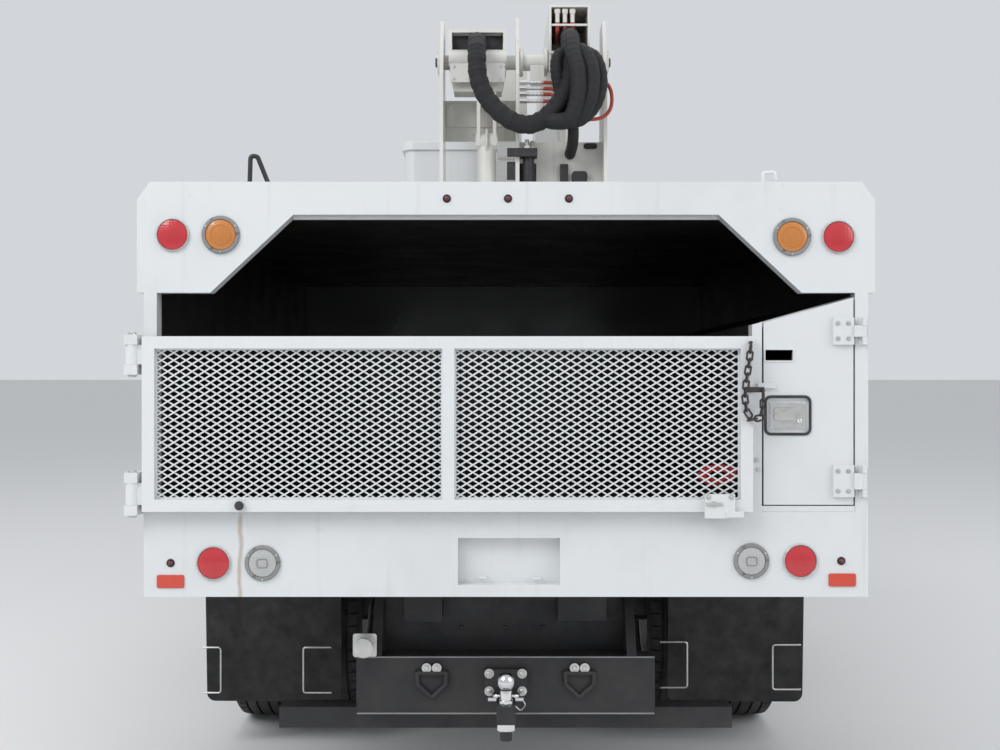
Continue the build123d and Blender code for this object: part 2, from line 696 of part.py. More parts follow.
def hood_shell():
    """Hood with its fenders as one tilting shell, open below, arches cut, slots for the grille."""
    rear = CAB_COWL_Y + 12
    top = prism_x([
        (rear, CAB_FLOOR_Z - 60), (rear, HOOD_TOP_Z), (HOOD_FRONT_Y - 160, HOOD_FRONT_TOP_Z),
        (HOOD_FRONT_Y, HOOD_FRONT_TOP_Z - 160), (HOOD_FRONT_Y, HOOD_PIVOT_Z),
        (HOOD_FRONT_Y - 200, HOOD_PIVOT_Z),
    ], -HOOD_HALF_W, HOOD_HALF_W)
    inner = prism_x([
        (rear - 1, CAB_FLOOR_Z - 400), (rear - 1, HOOD_TOP_Z - HOOD_WALL),
        (HOOD_FRONT_Y - 175, HOOD_FRONT_TOP_Z - HOOD_WALL),
        (HOOD_FRONT_Y - HOOD_WALL, HOOD_FRONT_TOP_Z - 170), (HOOD_FRONT_Y - HOOD_WALL, HOOD_PIVOT_Z - 200),
    ], -HOOD_HALF_W + HOOD_WALL, HOOD_HALF_W - HOOD_WALL)
    shape = top
    for side in (-1, 1):
        x0 = min(side * (HOOD_HALF_W - HOOD_WALL), side * FENDER_HALF_W)
        x1 = max(side * (HOOD_HALF_W - HOOD_WALL), side * FENDER_HALF_W)
        fender = prism_x([
            (rear, 900), (rear, FENDER_TOP_Z + 40), (HOOD_FRONT_Y - 260, FENDER_TOP_Z),
            (HOOD_FRONT_Y - 60, FENDER_TOP_Z - 120), (HOOD_FRONT_Y - 30, HOOD_PIVOT_Z),
            (HOOD_FRONT_Y - 300, HOOD_PIVOT_Z),
        ], x0, x1)
        shape += fender
    shape -= inner
    for side in (-1, 1):
        x0 = min(side * (HOOD_HALF_W + 4), side * (FENDER_HALF_W + 1))
        x1 = max(side * (HOOD_HALF_W + 4), side * (FENDER_HALF_W + 1))
        shape -= rod_x(AXLE_FRONT_Y, TYRE_R + 30, FENDER_ARCH_R, x0, x1)
    for row in range(GRILLE_SLOTS):
        z = 860 + row * 75
        shape -= block(-400, 400, HOOD_FRONT_Y - HOOD_WALL - 2, HOOD_FRONT_Y + 1, z, z + 45)
    for side in (-1, 1):
        ends = (side * (HOOD_LUG_X - 34), side * (HOOD_LUG_X - 6))
        shape += block(
            min(ends), max(ends), HOOD_PIVOT_Y, HOOD_FRONT_Y - HOOD_WALL + 1,
            HOOD_PIVOT_Z - HOOD_EAR_R, HOOD_PIVOT_Z + HOOD_EAR_R,
        )
        shape += rod_x(HOOD_PIVOT_Y, HOOD_PIVOT_Z, HOOD_EAR_R, min(ends), max(ends))
        shape -= rod_x(HOOD_PIVOT_Y, HOOD_PIVOT_Z, HOOD_PIN_R + PIN_PLAY, min(ends) - 1, max(ends) + 1)
    return shape


HOOD_LUG_X = 340
HOOD_PIN_R = 11
HOOD_EAR_R = 20


GRILLE_SLOTS = 6


def headlamps():
    """A lamp on each fender's front."""
    lamps = []
    for side in (-1, 1):
        x0 = min(side * 760, side * 1040)
        x1 = max(side * 760, side * 1040)
        lamps.append(prism_x([
            (HOOD_FRONT_Y - 38.8, 880), (HOOD_FRONT_Y - 50.2, 1010),
            (HOOD_FRONT_Y + 8, 1010), (HOOD_FRONT_Y + 8, 880),
        ], x0, x1))
    return Compound(children=lamps)


RADIATOR_Y = CROSSMEMBER_Y[-1] - CROSSMEMBER_W / 2


def engine_block():
    """Engine and radiator as plain blocks between the rails."""
    engine = block(-300, 300, 6870, 7700, 800, 1400)
    sump = block(-180, 180, 6950, 7600, 660, 800)
    gearbox = block(-170, 170, GEARBOX_Y, 6870, 720, 940)
    radiator = block(-350, 350, RADIATOR_Y - 100, RADIATOR_Y, 760, 1330)
    arm = RAIL_X - RAIL_WALL - PIN_PLAY
    mount = block(-arm, arm, 7250, 7400, 800, 880)
    cooler = radiator + block(-340, 340, 7700, RADIATOR_Y - 100, 960, 1000)
    return Compound(children=[engine + sump + gearbox + mount, cooler])


# Deck and pedestal behind the cab
def pedestal():
    """Deck plate over the rails with side steps, and the column under the turret."""
    deck = block(-BOX_HALF_W, BOX_HALF_W, 3400, 5240, DECK_Z - 40, DECK_Z)
    deck += block(-RAIL_X, RAIL_X, 3400, 5240, RAIL_Z1, DECK_Z - 40)
    column = Pos(TURRET_X, TURRET_Y, (DECK_Z + PEDESTAL_TOP_Z - 60) / 2) * Box(
        540, 540, PEDESTAL_TOP_Z - 60 - DECK_Z
    )
    top = rod_z(TURRET_X, TURRET_Y, 360, PEDESTAL_TOP_Z - 60, PEDESTAL_TOP_Z)
    return deck + column + top


# Turret: bearing, base plate and three upright plates
def turret_frame():
    base = rod_z(TURRET_X, TURRET_Y, 350, PEDESTAL_TOP_Z + PIN_PLAY, TURRET_BASE_Z)
    base += block(
        PLATE_LEFT_X, PLATE_RIGHT_X, TURRET_Y - 260, TURRET_Y + 180, TURRET_BASE_Z - 30, TURRET_TOP_Z,
    )
    side = [
        (TURRET_Y - 260, TURRET_BASE_Z), (TURRET_Y + 200, TURRET_BASE_Z), (TURRET_Y + 120, 3100),
        (TURRET_Y + 90, 3860), (TURRET_Y - 120, 3860), (TURRET_Y - 240, 3500),
    ]
    for x in (PLATE_LEFT_X, PLATE_RIGHT_X - PLATE_T):
        base += prism_x(side, x, x + PLATE_T)
    middle = [
        (TURRET_Y - 260, TURRET_BASE_Z), (TURRET_Y + 200, TURRET_BASE_Z), (TURRET_Y + 120, 3100),
        (TURRET_Y + 80, 3900), (TURRET_Y - 60, 3900), (TURRET_Y - 220, 3500),
    ]
    base += prism_x(middle, PLATE_MID_X, PLATE_MID_X + PLATE_T)
    base += block(PLATE_LEFT_X, PLATE_MID_X, 3990, 4010, 3134, 3400)
    base += block(PLATE_MID_X, PLATE_RIGHT_X, 3840, 3856, TURRET_BASE_Z - 5, 3100)
    for x in (LIFT_X - LIFT_FORK - 20, LIFT_X + LIFT_FORK):
        base += prism_x([
            (LIFT_FOOT[0] - 150, TURRET_BASE_Z), (LIFT_FOOT[0] + 110, TURRET_BASE_Z),
            (LIFT_FOOT[0] + 60, LIFT_FOOT[1] + 50), (LIFT_FOOT[0] - 60, LIFT_FOOT[1] + 50),
        ], x, x + 20)
    base += rod_x(LIFT_FOOT[0], LIFT_FOOT[1], LIFT_PIN_R, LIFT_X - LIFT_FORK - 1, LIFT_X + LIFT_FORK + 1)
    return base


LIFT_PIN_R = 26
BARREL_START = 105


def cylinder_tube(foot, eye, x, tube_r, bore_r, pin_r, closed, half_width):
    """A hydraulic cylinder's barrel from its foot eye along the line to the rod's eye."""
    a = Vector(x, foot[0], foot[1])
    b = Vector(x, eye[0], eye[1])
    along = (b - a).normalized()
    plane = Plane(origin=a + along * BARREL_START, z_dir=along)
    barrel = plane.location * (
        extrude(Circle(tube_r), amount=closed) - Pos(0, 0, 10) * extrude(Circle(bore_r), amount=closed)
    )
    boss = rod_x(foot[0], foot[1], pin_r + 26, x - half_width, x + half_width)
    neck = Plane(origin=a, z_dir=along).location * extrude(Circle(half_width - 2), amount=BARREL_START + 5)
    bore = rod_x(foot[0], foot[1], pin_r + PIN_PLAY, x - half_width - 20, x + half_width + 20)
    return (barrel + boss + neck) - bore


def cylinder_rod(foot, eye, x, rod_r, eye_r, start, half_width):
    """The rod from inside the barrel to its eye, which is left unpinned."""
    a = Vector(x, foot[0], foot[1])
    b = Vector(x, eye[0], eye[1])
    along = (b - a).normalized()
    length = (b - a).length
    plane = Plane(origin=a + along * start, z_dir=along)
    bar = plane.location * extrude(Circle(rod_r), amount=length - start)
    return bar + rod_x(eye[0], eye[1], eye_r, x - half_width, x + half_width)


def lift_cylinder():
    bore_r = LIFT_ROD_R + PIN_PLAY
    return cylinder_tube(LIFT_FOOT, LIFT_EYE, LIFT_X, 52, bore_r, LIFT_PIN_R, LIFT_BARREL, LIFT_EYE_HALF)


def lift_rod():
    return cylinder_rod(LIFT_FOOT, LIFT_EYE, LIFT_X, LIFT_ROD_R, 34, 120, LIFT_EYE_HALF)


def hoist_cylinder():
    bore_r = HOIST_ROD_R + PIN_PLAY
    return cylinder_tube(HOIST_FOOT, HOIST_EYE, 0, 60, bore_r, HOIST_PIN_R, HOIST_BARREL, HOIST_EYE_HALF)


def hoist_rod():
    return cylinder_rod(HOIST_FOOT, HOIST_EYE, 0, HOIST_ROD_R, 34, 900, HOIST_EYE_HALF)


HOSE_BOX_X0 = -345
HOSE_BOX_X1 = 20
HOSE_BOX_WALL = 20


def hose_box():
    """Open-ended box beam held on two pins between the left and the middle plate."""
    z0 = 3560
    z1 = 3790
    y0 = TURRET_Y - 190
    y1 = TURRET_Y + 80
    beam = block(HOSE_BOX_X0, HOSE_BOX_X1, y0, y1, z0, z1)
    beam -= block(
        HOSE_BOX_X0 + HOSE_BOX_WALL, HOSE_BOX_X1 - HOSE_BOX_WALL, y0 - 1, y1 + 1,
        z0 + 100, z1 - HOSE_BOX_WALL,
    )
    beam += prism_y([
        (HOSE_BOX_X0, z0 + 1), (HOSE_BOX_X0 + 30, z0 - 150), (HOSE_BOX_X1 - 30, z0 - 150),
        (HOSE_BOX_X1, z0 + 1),
    ], y0 + 60, y1 - 40)
    beam += rod_x(y0 + 20, z0 + 50, 48, HOSE_BOX_X0, HOSE_BOX_X1)
    for a, b in ((PLATE_LEFT_X + PLATE_T, HOSE_BOX_X0), (HOSE_BOX_X1, PLATE_MID_X)):
        beam += rod_x(BOOM_PIN_Y, BOOM_PIN_Z, 46, a, b)
    return beam


STAY_X = -106
STAY_Y = 3800
STAY_R = 62
POST_X = 160
POST_Y = 3680
POST_R = 36
POST_CAP_HALF = 54


def beam_stay():
    """A round stay on the turret's base with a fork that holds the box beam from below."""
    stay = rod_z(STAY_X, STAY_Y, STAY_R, TURRET_TOP_Z + PIN_PLAY, 3060)
    stay += rod_x(STAY_Y, 3090, 60, STAY_X - 70, STAY_X + 70)
    for x in (STAY_X - 62, STAY_X + 40):
        stay += prism_x([
            (STAY_Y - 60, 3060), (STAY_Y - 60, 3300), (STAY_Y - 40, 3410 - PIN_PLAY),
            (STAY_Y + 40, 3410 - PIN_PLAY), (STAY_Y + 60, 3300), (STAY_Y + 60, 3060),
        ], x, x + 22)
    return stay


def swivel_post():
    """Black T-shaped post that carries the hoses up from the turret's middle."""
    post = rod_z(POST_X, POST_Y, POST_R, TURRET_TOP_Z + PIN_PLAY, 2980)
    cap = block(POST_X - POST_CAP_HALF, POST_X + POST_CAP_HALF, POST_Y - 40, POST_Y + 40, 2971, 3021)
    return post + cap


HOSE_R = 50
# Points of the hose bundle's route from the box beam's mouth round to the boom's open end
HOSE_ROUTE = (
    (-165, 3760, 3710.4), (-165, 3520, 3710.4), (-160, 3500, 3330), (150, 3480, 3080),
    (410, 3500, 3330), (420, 3560, 3690), (420, 3850, 3810),
)
HOSE_BENDS = (110, 260, 260, 230, 150)


def hose_bundle():
    """Sleeved hoses that hang in a loop from the box beam and run up into the boom."""
    path = FilletPolyline(*HOSE_ROUTE, radius=HOSE_BENDS)
    start = Plane(origin=path @ 0, z_dir=path % 0)
    return sweep(start.location * Circle(HOSE_R), path=path)


def lower_boom():
    """Box beam from the turret to the elbow, its rear end open, with pin bosses at both ends."""
    reach = (PLATE_MID_X + PLATE_T + PIN_PLAY, PLATE_RIGHT_X - PLATE_T - PIN_PLAY)
    pin = rod_x(BOOM_PIN_Y, BOOM_PIN_Z, BOOM_PIN_R, reach[0], reach[1])
    rear = BOOM_PIN_Y - 120
    beam = prism_x([
        (rear, LOWER_Z0), (BOOM_PIN_Y + 700, LOWER_Z0 - 20), (ELBOW_Y - 300, LOWER_Z0 + 20),
        (ELBOW_Y - 300, LOWER_Z1 - 60), (BOOM_PIN_Y + 700, LOWER_Z1), (rear, LOWER_Z1),
    ], LOWER_X0, LOWER_X1)
    beam -= block(LOWER_X0 + 16, LOWER_X1 - 16, rear - 1, rear + 600, LOWER_Z0 + 16, LOWER_Z1 - 16)
    cheek_side = [
        (BOOM_PIN_Y - 100, BOOM_PIN_Z - 70), (BOOM_PIN_Y + 90, BOOM_PIN_Z - 70),
        (BOOM_PIN_Y + 400, LOWER_Z0 + 40), (rear, LOWER_Z0 + 40),
    ]
    cheek = prism_x(cheek_side, LOWER_X0 - 1, LOWER_X0 + 16)
    other = prism_x(cheek_side, LOWER_X1 - 16, LOWER_X1 + 1)
    elbow = prism_x([
        (ELBOW_Y - 320, LOWER_Z0 - 40), (ELBOW_Y + 60, ELBOW_Z - 150), (ELBOW_Y + 150, ELBOW_Z),
        (ELBOW_Y + 60, ELBOW_Z + 150), (ELBOW_Y - 320, LOWER_Z1 - 40),
    ], LOWER_X0, LOWER_X1)
    elbow -= rod_x(ELBOW_Y, ELBOW_Z, ELBOW_SHAFT_R + PIN_PLAY, LOWER_X0 - 1, LOWER_X1 + 1)
    shape = beam + cheek + other + pin + elbow
    for x in (LIFT_X - LIFT_FORK - 16, LIFT_X + LIFT_FORK):
        shape += prism_x([
            (LIFT_EYE[0] - 60, LIFT_EYE[1] - 40), (LIFT_EYE[0] + 60, LIFT_EYE[1] - 40),
            (LIFT_EYE[0] + 160, LOWER_Z0 + 10), (LIFT_EYE[0] - 160, LOWER_Z0 + 10),
        ], x, x + 16)
    return shape


ELBOW_SHAFT_R = 60
LINK_X0 = UPPER_X1 + 8
LINK_X1 = LOWER_X0 - 8


def elbow_link():
    """The levelling drum at the elbow on the shaft through both booms; it stays level."""
    drum = rod_x(ELBOW_Y, ELBOW_Z, ELBOW_R - 10, LINK_X0, LINK_X1)
    return drum + rod_x(ELBOW_Y, ELBOW_Z, ELBOW_SHAFT_R, UPPER_X0, LOWER_X1)


def upper_boom():
    """Boom from the elbow back to the bucket: a steel knuckle and a slimmer insulating beam."""
    z0 = ELBOW_Z - UPPER_H / 2
    z1 = ELBOW_Z + UPPER_H / 2
    knuckle_part = rod_x(ELBOW_Y, ELBOW_Z, ELBOW_R, UPPER_X0, UPPER_X1)
    knuckle_part += prism_x([
        (ELBOW_Y, z1), (ELBOW_Y - 1300, z1), (ELBOW_Y - 1300, z0), (ELBOW_Y, z0),
    ], UPPER_X0, UPPER_X1)
    beam = block(UPPER_X0 + 20, UPPER_X1 - 20, UPPER_TIP_Y, ELBOW_Y - 1300, z0 + 20, z1 - 20)
    tip = prism_x([
        (UPPER_TIP_Y, BUCKET_PIN_Z + 40), (UPPER_TIP_Y + 420, z0 + 30), (UPPER_TIP_Y + 420, z1 - 30),
        (UPPER_TIP_Y, z1 - 30),
    ], UPPER_X0 + 10, UPPER_X1 - 10)
    tip += block(
        UPPER_X0 + 10, UPPER_X1 - 10, UPPER_TIP_Y, UPPER_TIP_Y + 200,
        BUCKET_PIN_Z - 60, BUCKET_PIN_Z + 60,
    )
    shape = knuckle_part + beam + tip
    shape -= rod_x(ELBOW_Y, ELBOW_Z, ELBOW_SHAFT_R + PIN_PLAY, UPPER_X0 - 1, UPPER_X1 + 1)
    shaft_y = UPPER_TIP_Y + 100
    return shape - rod_x(shaft_y, BUCKET_PIN_Z, BUCKET_SHAFT_R + PIN_PLAY, UPPER_X0, UPPER_X1)


BUCKET_SHAFT_R = 42


def bucket():
    """Open tub with a rolled lip, ribs, and a bracket to the pin at the boom's tip."""
    x1 = BUCKET_X0 + BUCKET_W
    y1 = BUCKET_Y0 + BUCKET_L
    tub = block(BUCKET_X0 + 20, x1 - 20, BUCKET_Y0 + 20, y1 - 20, BUCKET_Z0, BUCKET_Z1)
    tub = fillet(tub.edges().filter_by(Axis.Z), 70)
    lip = block(BUCKET_X0, x1, BUCKET_Y0, y1, BUCKET_Z1 - 50, BUCKET_Z1)
    lip = fillet(lip.edges().filter_by(Axis.Z), 80)
    hollow = block(
        BUCKET_X0 + 20 + BUCKET_WALL, x1 - 20 - BUCKET_WALL, BUCKET_Y0 + 20 + BUCKET_WALL,
        y1 - 20 - BUCKET_WALL, BUCKET_Z0 + BUCKET_WALL, BUCKET_Z1 + 1,
    )
    hollow = fillet(hollow.edges().filter_by(Axis.Z), 70 - BUCKET_WALL)
    shape = tub + lip - hollow
    mid = UPPER_TIP_Y + 100
    post = block(x1 - 45, x1 - 5, mid - 90, mid + 90, BUCKET_Z1 - 500, BUCKET_PIN_Z + 60)
    shaft = rod_x(mid, BUCKET_PIN_Z, BUCKET_SHAFT_R, x1 - 40, UPPER_X1 - 30)
    return shape + post + shaft


def chip_box_walls():
    """Floor, two sides with ribs, front wall and roof; the inside is open to the rear."""
    inner = BOX_HALF_W - BOX_WALL
    y1 = BOX_LENGTH
    floor = block(-BOX_HALF_W, BOX_HALF_W, FRAME_DEPTH, y1, BOX_FLOOR_Z0, BOX_FLOOR_Z)
    for side in (-1, 1):
        x = side * (RAIL_X - 38)
        floor += block(x - 38, x + 38, FRAME_DEPTH, y1, RAIL_Z1 + 4, BOX_FLOOR_Z0)
        floor -= rod_x(DUMP_PIVOT_Y, DUMP_PIVOT_Z, DUMP_PIN_R + PIN_PLAY, x - 40, x + 40)
    for x in (-HOIST_FORK - 16, HOIST_FORK):
        floor += block(x, x + 16, HOIST_EYE[0] - 50, HOIST_EYE[0] + 50, HOIST_EYE[1] - 40, BOX_FLOOR_Z0)
    front = block(-inner, inner, y1 - BOX_WALL, y1, BOX_FLOOR_Z, BOX_ROOF_Z - BOX_WALL)
    roof = block(-inner, inner, FRAME_DEPTH, y1, BOX_ROOF_Z - BOX_WALL, BOX_ROOF_Z)
    sides = []
    for side in (-1, 1):
        wall = block(
            min(side * inner, side * BOX_HALF_W), max(side * inner, side * BOX_HALF_W),
            FRAME_DEPTH, y1, BOX_FLOOR_Z, BOX_ROOF_Z,
        )
        for index in range(RIB_COUNT):
            y = FRAME_DEPTH + RIB_W + index * (y1 - FRAME_DEPTH - 2 * RIB_W) / (RIB_COUNT - 1)
            wall += block(
                min(side * BOX_HALF_W, side * (BOX_HALF_W + RIB_PROUD)),
                max(side * BOX_HALF_W, side * (BOX_HALF_W + RIB_PROUD)),
                y - RIB_W / 2, y + RIB_W / 2, BOX_FLOOR_Z, BOX_ROOF_Z - 30,
            )
        sides.append(wall)
    return floor, front, roof, sides


RIB_COUNT = 6
RECESS = (-162, 182, 893, 1051, 40)


def rear_frame():
    """The box's tail: sill, posts and header with slanted corners, cut to the shape of the opening."""
    outer = [
        (-BOX_HALF_W, SILL_Z0), (-BOX_HALF_W, SHOULDER_Z), (-FRAME_HALF_W, SHOULDER_Z),
        (-FRAME_HALF_W, HEADER_Z1 - CORNER_CUT_Z), (-FRAME_HALF_W + CORNER_CUT, HEADER_Z1),
        (FRAME_HALF_W - CORNER_CUT, HEADER_Z1), (FRAME_HALF_W, HEADER_Z1 - CORNER_CUT_Z),
        (FRAME_HALF_W, SHOULDER_Z), (BOX_HALF_W, SHOULDER_Z), (BOX_HALF_W, SILL_Z0),
    ]
    opening = [
        (-POST_INNER, BOX_FLOOR_Z), (-POST_INNER, SHOULDER_Z), (-OPENING_LOW_HALF, SHOULDER_Z),
        (-OPENING_TOP_HALF, HEADER_Z0), (OPENING_TOP_HALF, HEADER_Z0), (OPENING_LOW_HALF, SHOULDER_Z),
        (POST_INNER, SHOULDER_Z), (POST_INNER, BOX_FLOOR_Z),
    ]
    frame = prism_y(outer, 0, FRAME_DEPTH) - prism_y(opening, -1, FRAME_DEPTH + 1)
    x0, x1, z0, z1, depth = RECESS
    frame -= block(x0, x1, -1, depth, z0, z1)
    for z0, z1 in GATE_HINGES:
        frame += block(GATE_HINGE_X - 32, -BOX_HALF_W + 10, 2, 30, z0, z1)
        frame += rod_z(GATE_HINGE_X, GATE_MID_Y, HINGE_PIN_R, z0, z1)
        for low, high in ((z0, z0 + KNUCKLE_H), (z1 - KNUCKLE_H, z1)):
            frame += block(GATE_HINGE_X - 22, GATE_HINGE_X + 22, GATE_MID_Y - 22, 3, low, high)
    for z0, z1 in LOCKER_HINGES:
        frame += block(DOOR_HINGE_X - 16, DOOR_HINGE_X + 14, -8, 1, z0, z1)
        frame += rod_z(DOOR_HINGE_X, DOOR_HINGE_Y, DOOR_PIN_R, z0, z1)
        for low, high in ((z0, z0 + 26), (z1 - 26, z1)):
            frame += rod_z(DOOR_HINGE_X, DOOR_HINGE_Y, DOOR_KNUCKLE_R, low, high)
    return frame


GATE_HINGES = ((1132, 1274), (1601, 1735))
KNUCKLE_H = 34
HINGE_PIN_R = 10
GATE_MID_Y = -GATE_GAP - GATE_DEPTH / 2
DOOR_HINGE_Y = -16
DOOR_PIN_R = 4
DOOR_KNUCKLE_R = 9
LOCKER_HINGES = ((1190, 1297), (1702, 1793))


def side_locker():
    """Long locker inside the box's right wall: floor, inner wall and slanted lid, with a rear strip."""
    x1 = BOX_HALF_W - BOX_WALL
    slope = (LOCKER_TOP_OUTER_Z - LOCKER_TOP_INNER_Z) / (POST_INNER - LOCKER_X)
    outer = [
        (LOCKER_X, BOX_FLOOR_Z), (LOCKER_X, LOCKER_TOP_INNER_Z),
        (x1, LOCKER_TOP_INNER_Z + slope * (x1 - LOCKER_X)), (x1, BOX_FLOOR_Z),
    ]
    inner = [
        (LOCKER_X + LOCKER_PLATE, BOX_FLOOR_Z + LOCKER_PLATE),
        (LOCKER_X + LOCKER_PLATE, LOCKER_TOP_INNER_Z - LOCKER_PLATE),
        (x1 + 1, LOCKER_TOP_INNER_Z - LOCKER_PLATE + slope * (x1 + 1 - LOCKER_X)),
        (x1 + 1, BOX_FLOOR_Z + LOCKER_PLATE),
    ]
    shape = prism_y(outer, FRAME_DEPTH, BOX_LENGTH - BOX_WALL) - prism_y(inner, FRAME_DEPTH - 1, BOX_LENGTH)
    strip = [
        (LOCKER_X, BOX_FLOOR_Z), (LOCKER_X, LOCKER_TOP_INNER_Z),
        (DOOR_X0 - DOOR_GAP, LOCKER_TOP_INNER_Z + slope * (DOOR_X0 - DOOR_GAP - LOCKER_X)),
        (DOOR_X0 - DOOR_GAP, BOX_FLOOR_Z),
    ]
    shape += prism_y(strip, 0, FRAME_DEPTH)
    return shape


def locker_door():
    """The locker's rear door with a slanted top, a hand slot, a latch dish and two hinges."""
    slope = (LOCKER_TOP_OUTER_Z - LOCKER_TOP_INNER_Z) / (POST_INNER - LOCKER_X)
    right = POST_INNER - DOOR_GAP
    door = prism_y([
        (DOOR_X0, DOOR_Z0), (DOOR_X0, LOCKER_TOP_INNER_Z + slope * (DOOR_X0 - LOCKER_X) - 4),
        (right, LOCKER_TOP_INNER_Z + slope * (right - LOCKER_X) - 4), (right, DOOR_Z0),
    ], 0, DOOR_T)
    door -= block(873, 967, -1, DOOR_T + 1, 1648, 1685)
    door -= block(878, 1020, -1, 8, 1405, 1523)
    door += block(890, 1008, 2, 12, 1420, 1508)
    for z0, z1 in LOCKER_HINGES:
        low = z0 + 26 + PIN_PLAY
        high = z1 - 26 - PIN_PLAY
        door += block(right - 70, right, -12, 1, z0, z1)
        door += block(right - 1, DOOR_HINGE_X, DOOR_HINGE_Y - 4, DOOR_HINGE_Y + 4, low, high)
        door += rod_z(DOOR_HINGE_X, DOOR_HINGE_Y, DOOR_KNUCKLE_R - 2, low, high)
        door -= rod_z(DOOR_HINGE_X, DOOR_HINGE_Y, DOOR_PIN_R + PIN_PLAY, low - 1, high + 1)
    return door


def gate_frame():
    """Square tube frame with a middle bar, hinge straps on the left and a latch plate at the right foot."""
    y0 = -GATE_GAP - GATE_DEPTH
    y1 = -GATE_GAP
    frame = block(GATE_X0, GATE_X1, y0, y1, GATE_Z0, GATE_Z1)
    for x0, x1 in gate_bays():
        frame -= block(x0, x1, y0 - 1, y1 + 1, GATE_Z0 + GATE_BAR, GATE_Z1 - GATE_BAR)
    for z0, z1 in GATE_HINGES:
        low = z0 + KNUCKLE_H + PIN_PLAY
        high = z1 - KNUCKLE_H - PIN_PLAY
        frame += block(GATE_HINGE_X, GATE_X0 + 1, GATE_MID_Y - 12, GATE_MID_Y + 12, low, high)
        frame += rod_z(GATE_HINGE_X, GATE_MID_Y, 22, low, high)
        frame -= rod_z(GATE_HINGE_X, GATE_MID_Y, HINGE_PIN_R + PIN_PLAY, low - 1, high + 1)
    frame += block(660, 760, y0 - 14, y0 + 1, GATE_Z0 - 20, GATE_Z0 + 60)
    return frame


CHAIN_WIRE_R = 3.5
LINK_HALF_W = 9
LINK_HALF_L = 15.5
CHAIN_Y = -GATE_GAP - GATE_DEPTH - 16
# The chain's line on the gate's right bar, x and z, from its eye down and round to its hook
CHAIN_LINE = (
    (812, 1700), (806, 1640), (797, 1580), (792, 1528), (797, 1482), (816, 1452), (842, 1458),
    (853, 1500), (853, 1540),
)


def chain_link(centre, along, facing):
    """An eight-sided loop of six-sided wire, lying in the plane of along and facing x along."""
    side = along.cross(facing)
    w = LINK_HALF_W
    h = LINK_HALF_L
    loop = (
        (-h, -w / 2), (-h + w / 2, -w), (h - w / 2, -w), (h, -w / 2),
        (h, w / 2), (h - w / 2, w), (-h + w / 2, w), (-h, w / 2),
    )
    corners = [centre + along * a + side * b for a, b in loop]
    run = Plane(origin=(corners[1] + corners[2]) * 0.5, z_dir=(corners[2] - corners[1]).normalized())
    path = Wire.make_polygon(corners[1:] + corners[:1], close=True)
    section = run.location * RegularPolygon(CHAIN_WIRE_R, 6)
    return sweep(section, path=path, transition=Transition.RIGHT)


def gate_chain():
    """Links along the chain's line, each a quarter turn from the last, with their eye and hook."""
    line = Polyline(*[(x, CHAIN_Y, z) for x, z in CHAIN_LINE])
    pitch = 2 * (LINK_HALF_L - CHAIN_WIRE_R)
    count = int(line.length / pitch)
    pieces = []
    for index in range(count):
        place = (index + 0.5) / count
        along = Vector(line % place)
        facing = Vector(0, 1, 0) if index % 2 else along.cross(Vector(0, 1, 0))
        pieces.append(chain_link(Vector(line @ place), along, facing))
    eye_x, eye_z = CHAIN_LINE[0]
    hook_x, hook_z = CHAIN_LINE[-1]
    face = -GATE_GAP - GATE_DEPTH - PIN_PLAY
    pieces.append(rod_y(eye_x, eye_z + 8, 5, CHAIN_Y - 8, face))
    pieces.append(block(GATE_X1 - 26, hook_x + 6, face - 6, face, hook_z + 2, hook_z + 20)
                  + rod_y(hook_x, hook_z + 8, 5, CHAIN_Y - 8, face - 5))
    return Compound(children=pieces)


def gate_bays():
    half = GATE_BAR / 2
    return (
        (GATE_X0 + GATE_BAR, GATE_MID_X - half),
        (GATE_MID_X + half, GATE_X1 - GATE_BAR),
    )


def strand_layer(x0, x1, z0, z1, y0, y1, lean):
    """One bay's parallel slanted strands with a thin border; lean is 1 or -1."""
    border = 5
    hole = block(x0 + border, x1 - border, y0 - 1, y1 + 1, z0 + border, z1 - border)
    frame = block(x0, x1, y0, y1, z0, z1) - hole
    height = z1 - z0
    run = height * MESH_LONG / MESH_SHORT
    half = MESH_STRAND / 2 * hypot(MESH_LONG, MESH_SHORT) / MESH_SHORT
    strands = []
    count = int((x1 - x0 + run) / MESH_LONG)
    for index in range(count + 1):
        start = x0 - run + index * MESH_LONG
        foot, head = (start, start + run) if lean > 0 else (start + run, start)
        corners = [(foot - half, z0), (foot + half, z0), (head + half, z1), (head - half, z1)]
        strands.append(prism_y(corners, y0, y1))
    window = block(x0 + 1, x1 - 1, y0 - 1, y1 + 1, z0 + 1, z1 - 1)
    shape = frame
    for strand in strands:
        piece = strand & window
        if piece is not None and piece.volume > 1:
            shape += piece
    return shape


MESH_LAYER = 3
MESH_SLIT = 0.4


def gate_mesh():
    """Diamond mesh in both bays: two layers of slanted strands, one leaning each way."""
    layers = []
    for x0, x1 in gate_bays():
        for lean, y in ((1, GATE_MID_Y), (-1, GATE_MID_Y + MESH_LAYER + MESH_SLIT)):
            layers.append(strand_layer(
                x0 + MESH_SLIT, x1 - MESH_SLIT,
                GATE_Z0 + GATE_BAR + MESH_SLIT, GATE_Z1 - GATE_BAR - MESH_SLIT,
                y, y + MESH_LAYER, lean,
            ))
    return Compound(children=layers)


# Lamps on the tail: x, z, radius
LAMPS = (
    (-1122, 2072, 54), (-960, 2072, 62), (963, 2065, 62), (1119, 2065, 54),
    (-984, 967, 57), (-819, 967, 64), (826, 974, 64), (991, 974, 57),
)
MARKERS = ((-199, 2194), (7, 2194), (212, 2194), (-1129, 967), (1129, 974))
REFLECTORS = ((-1129, 905), (1132, 910))


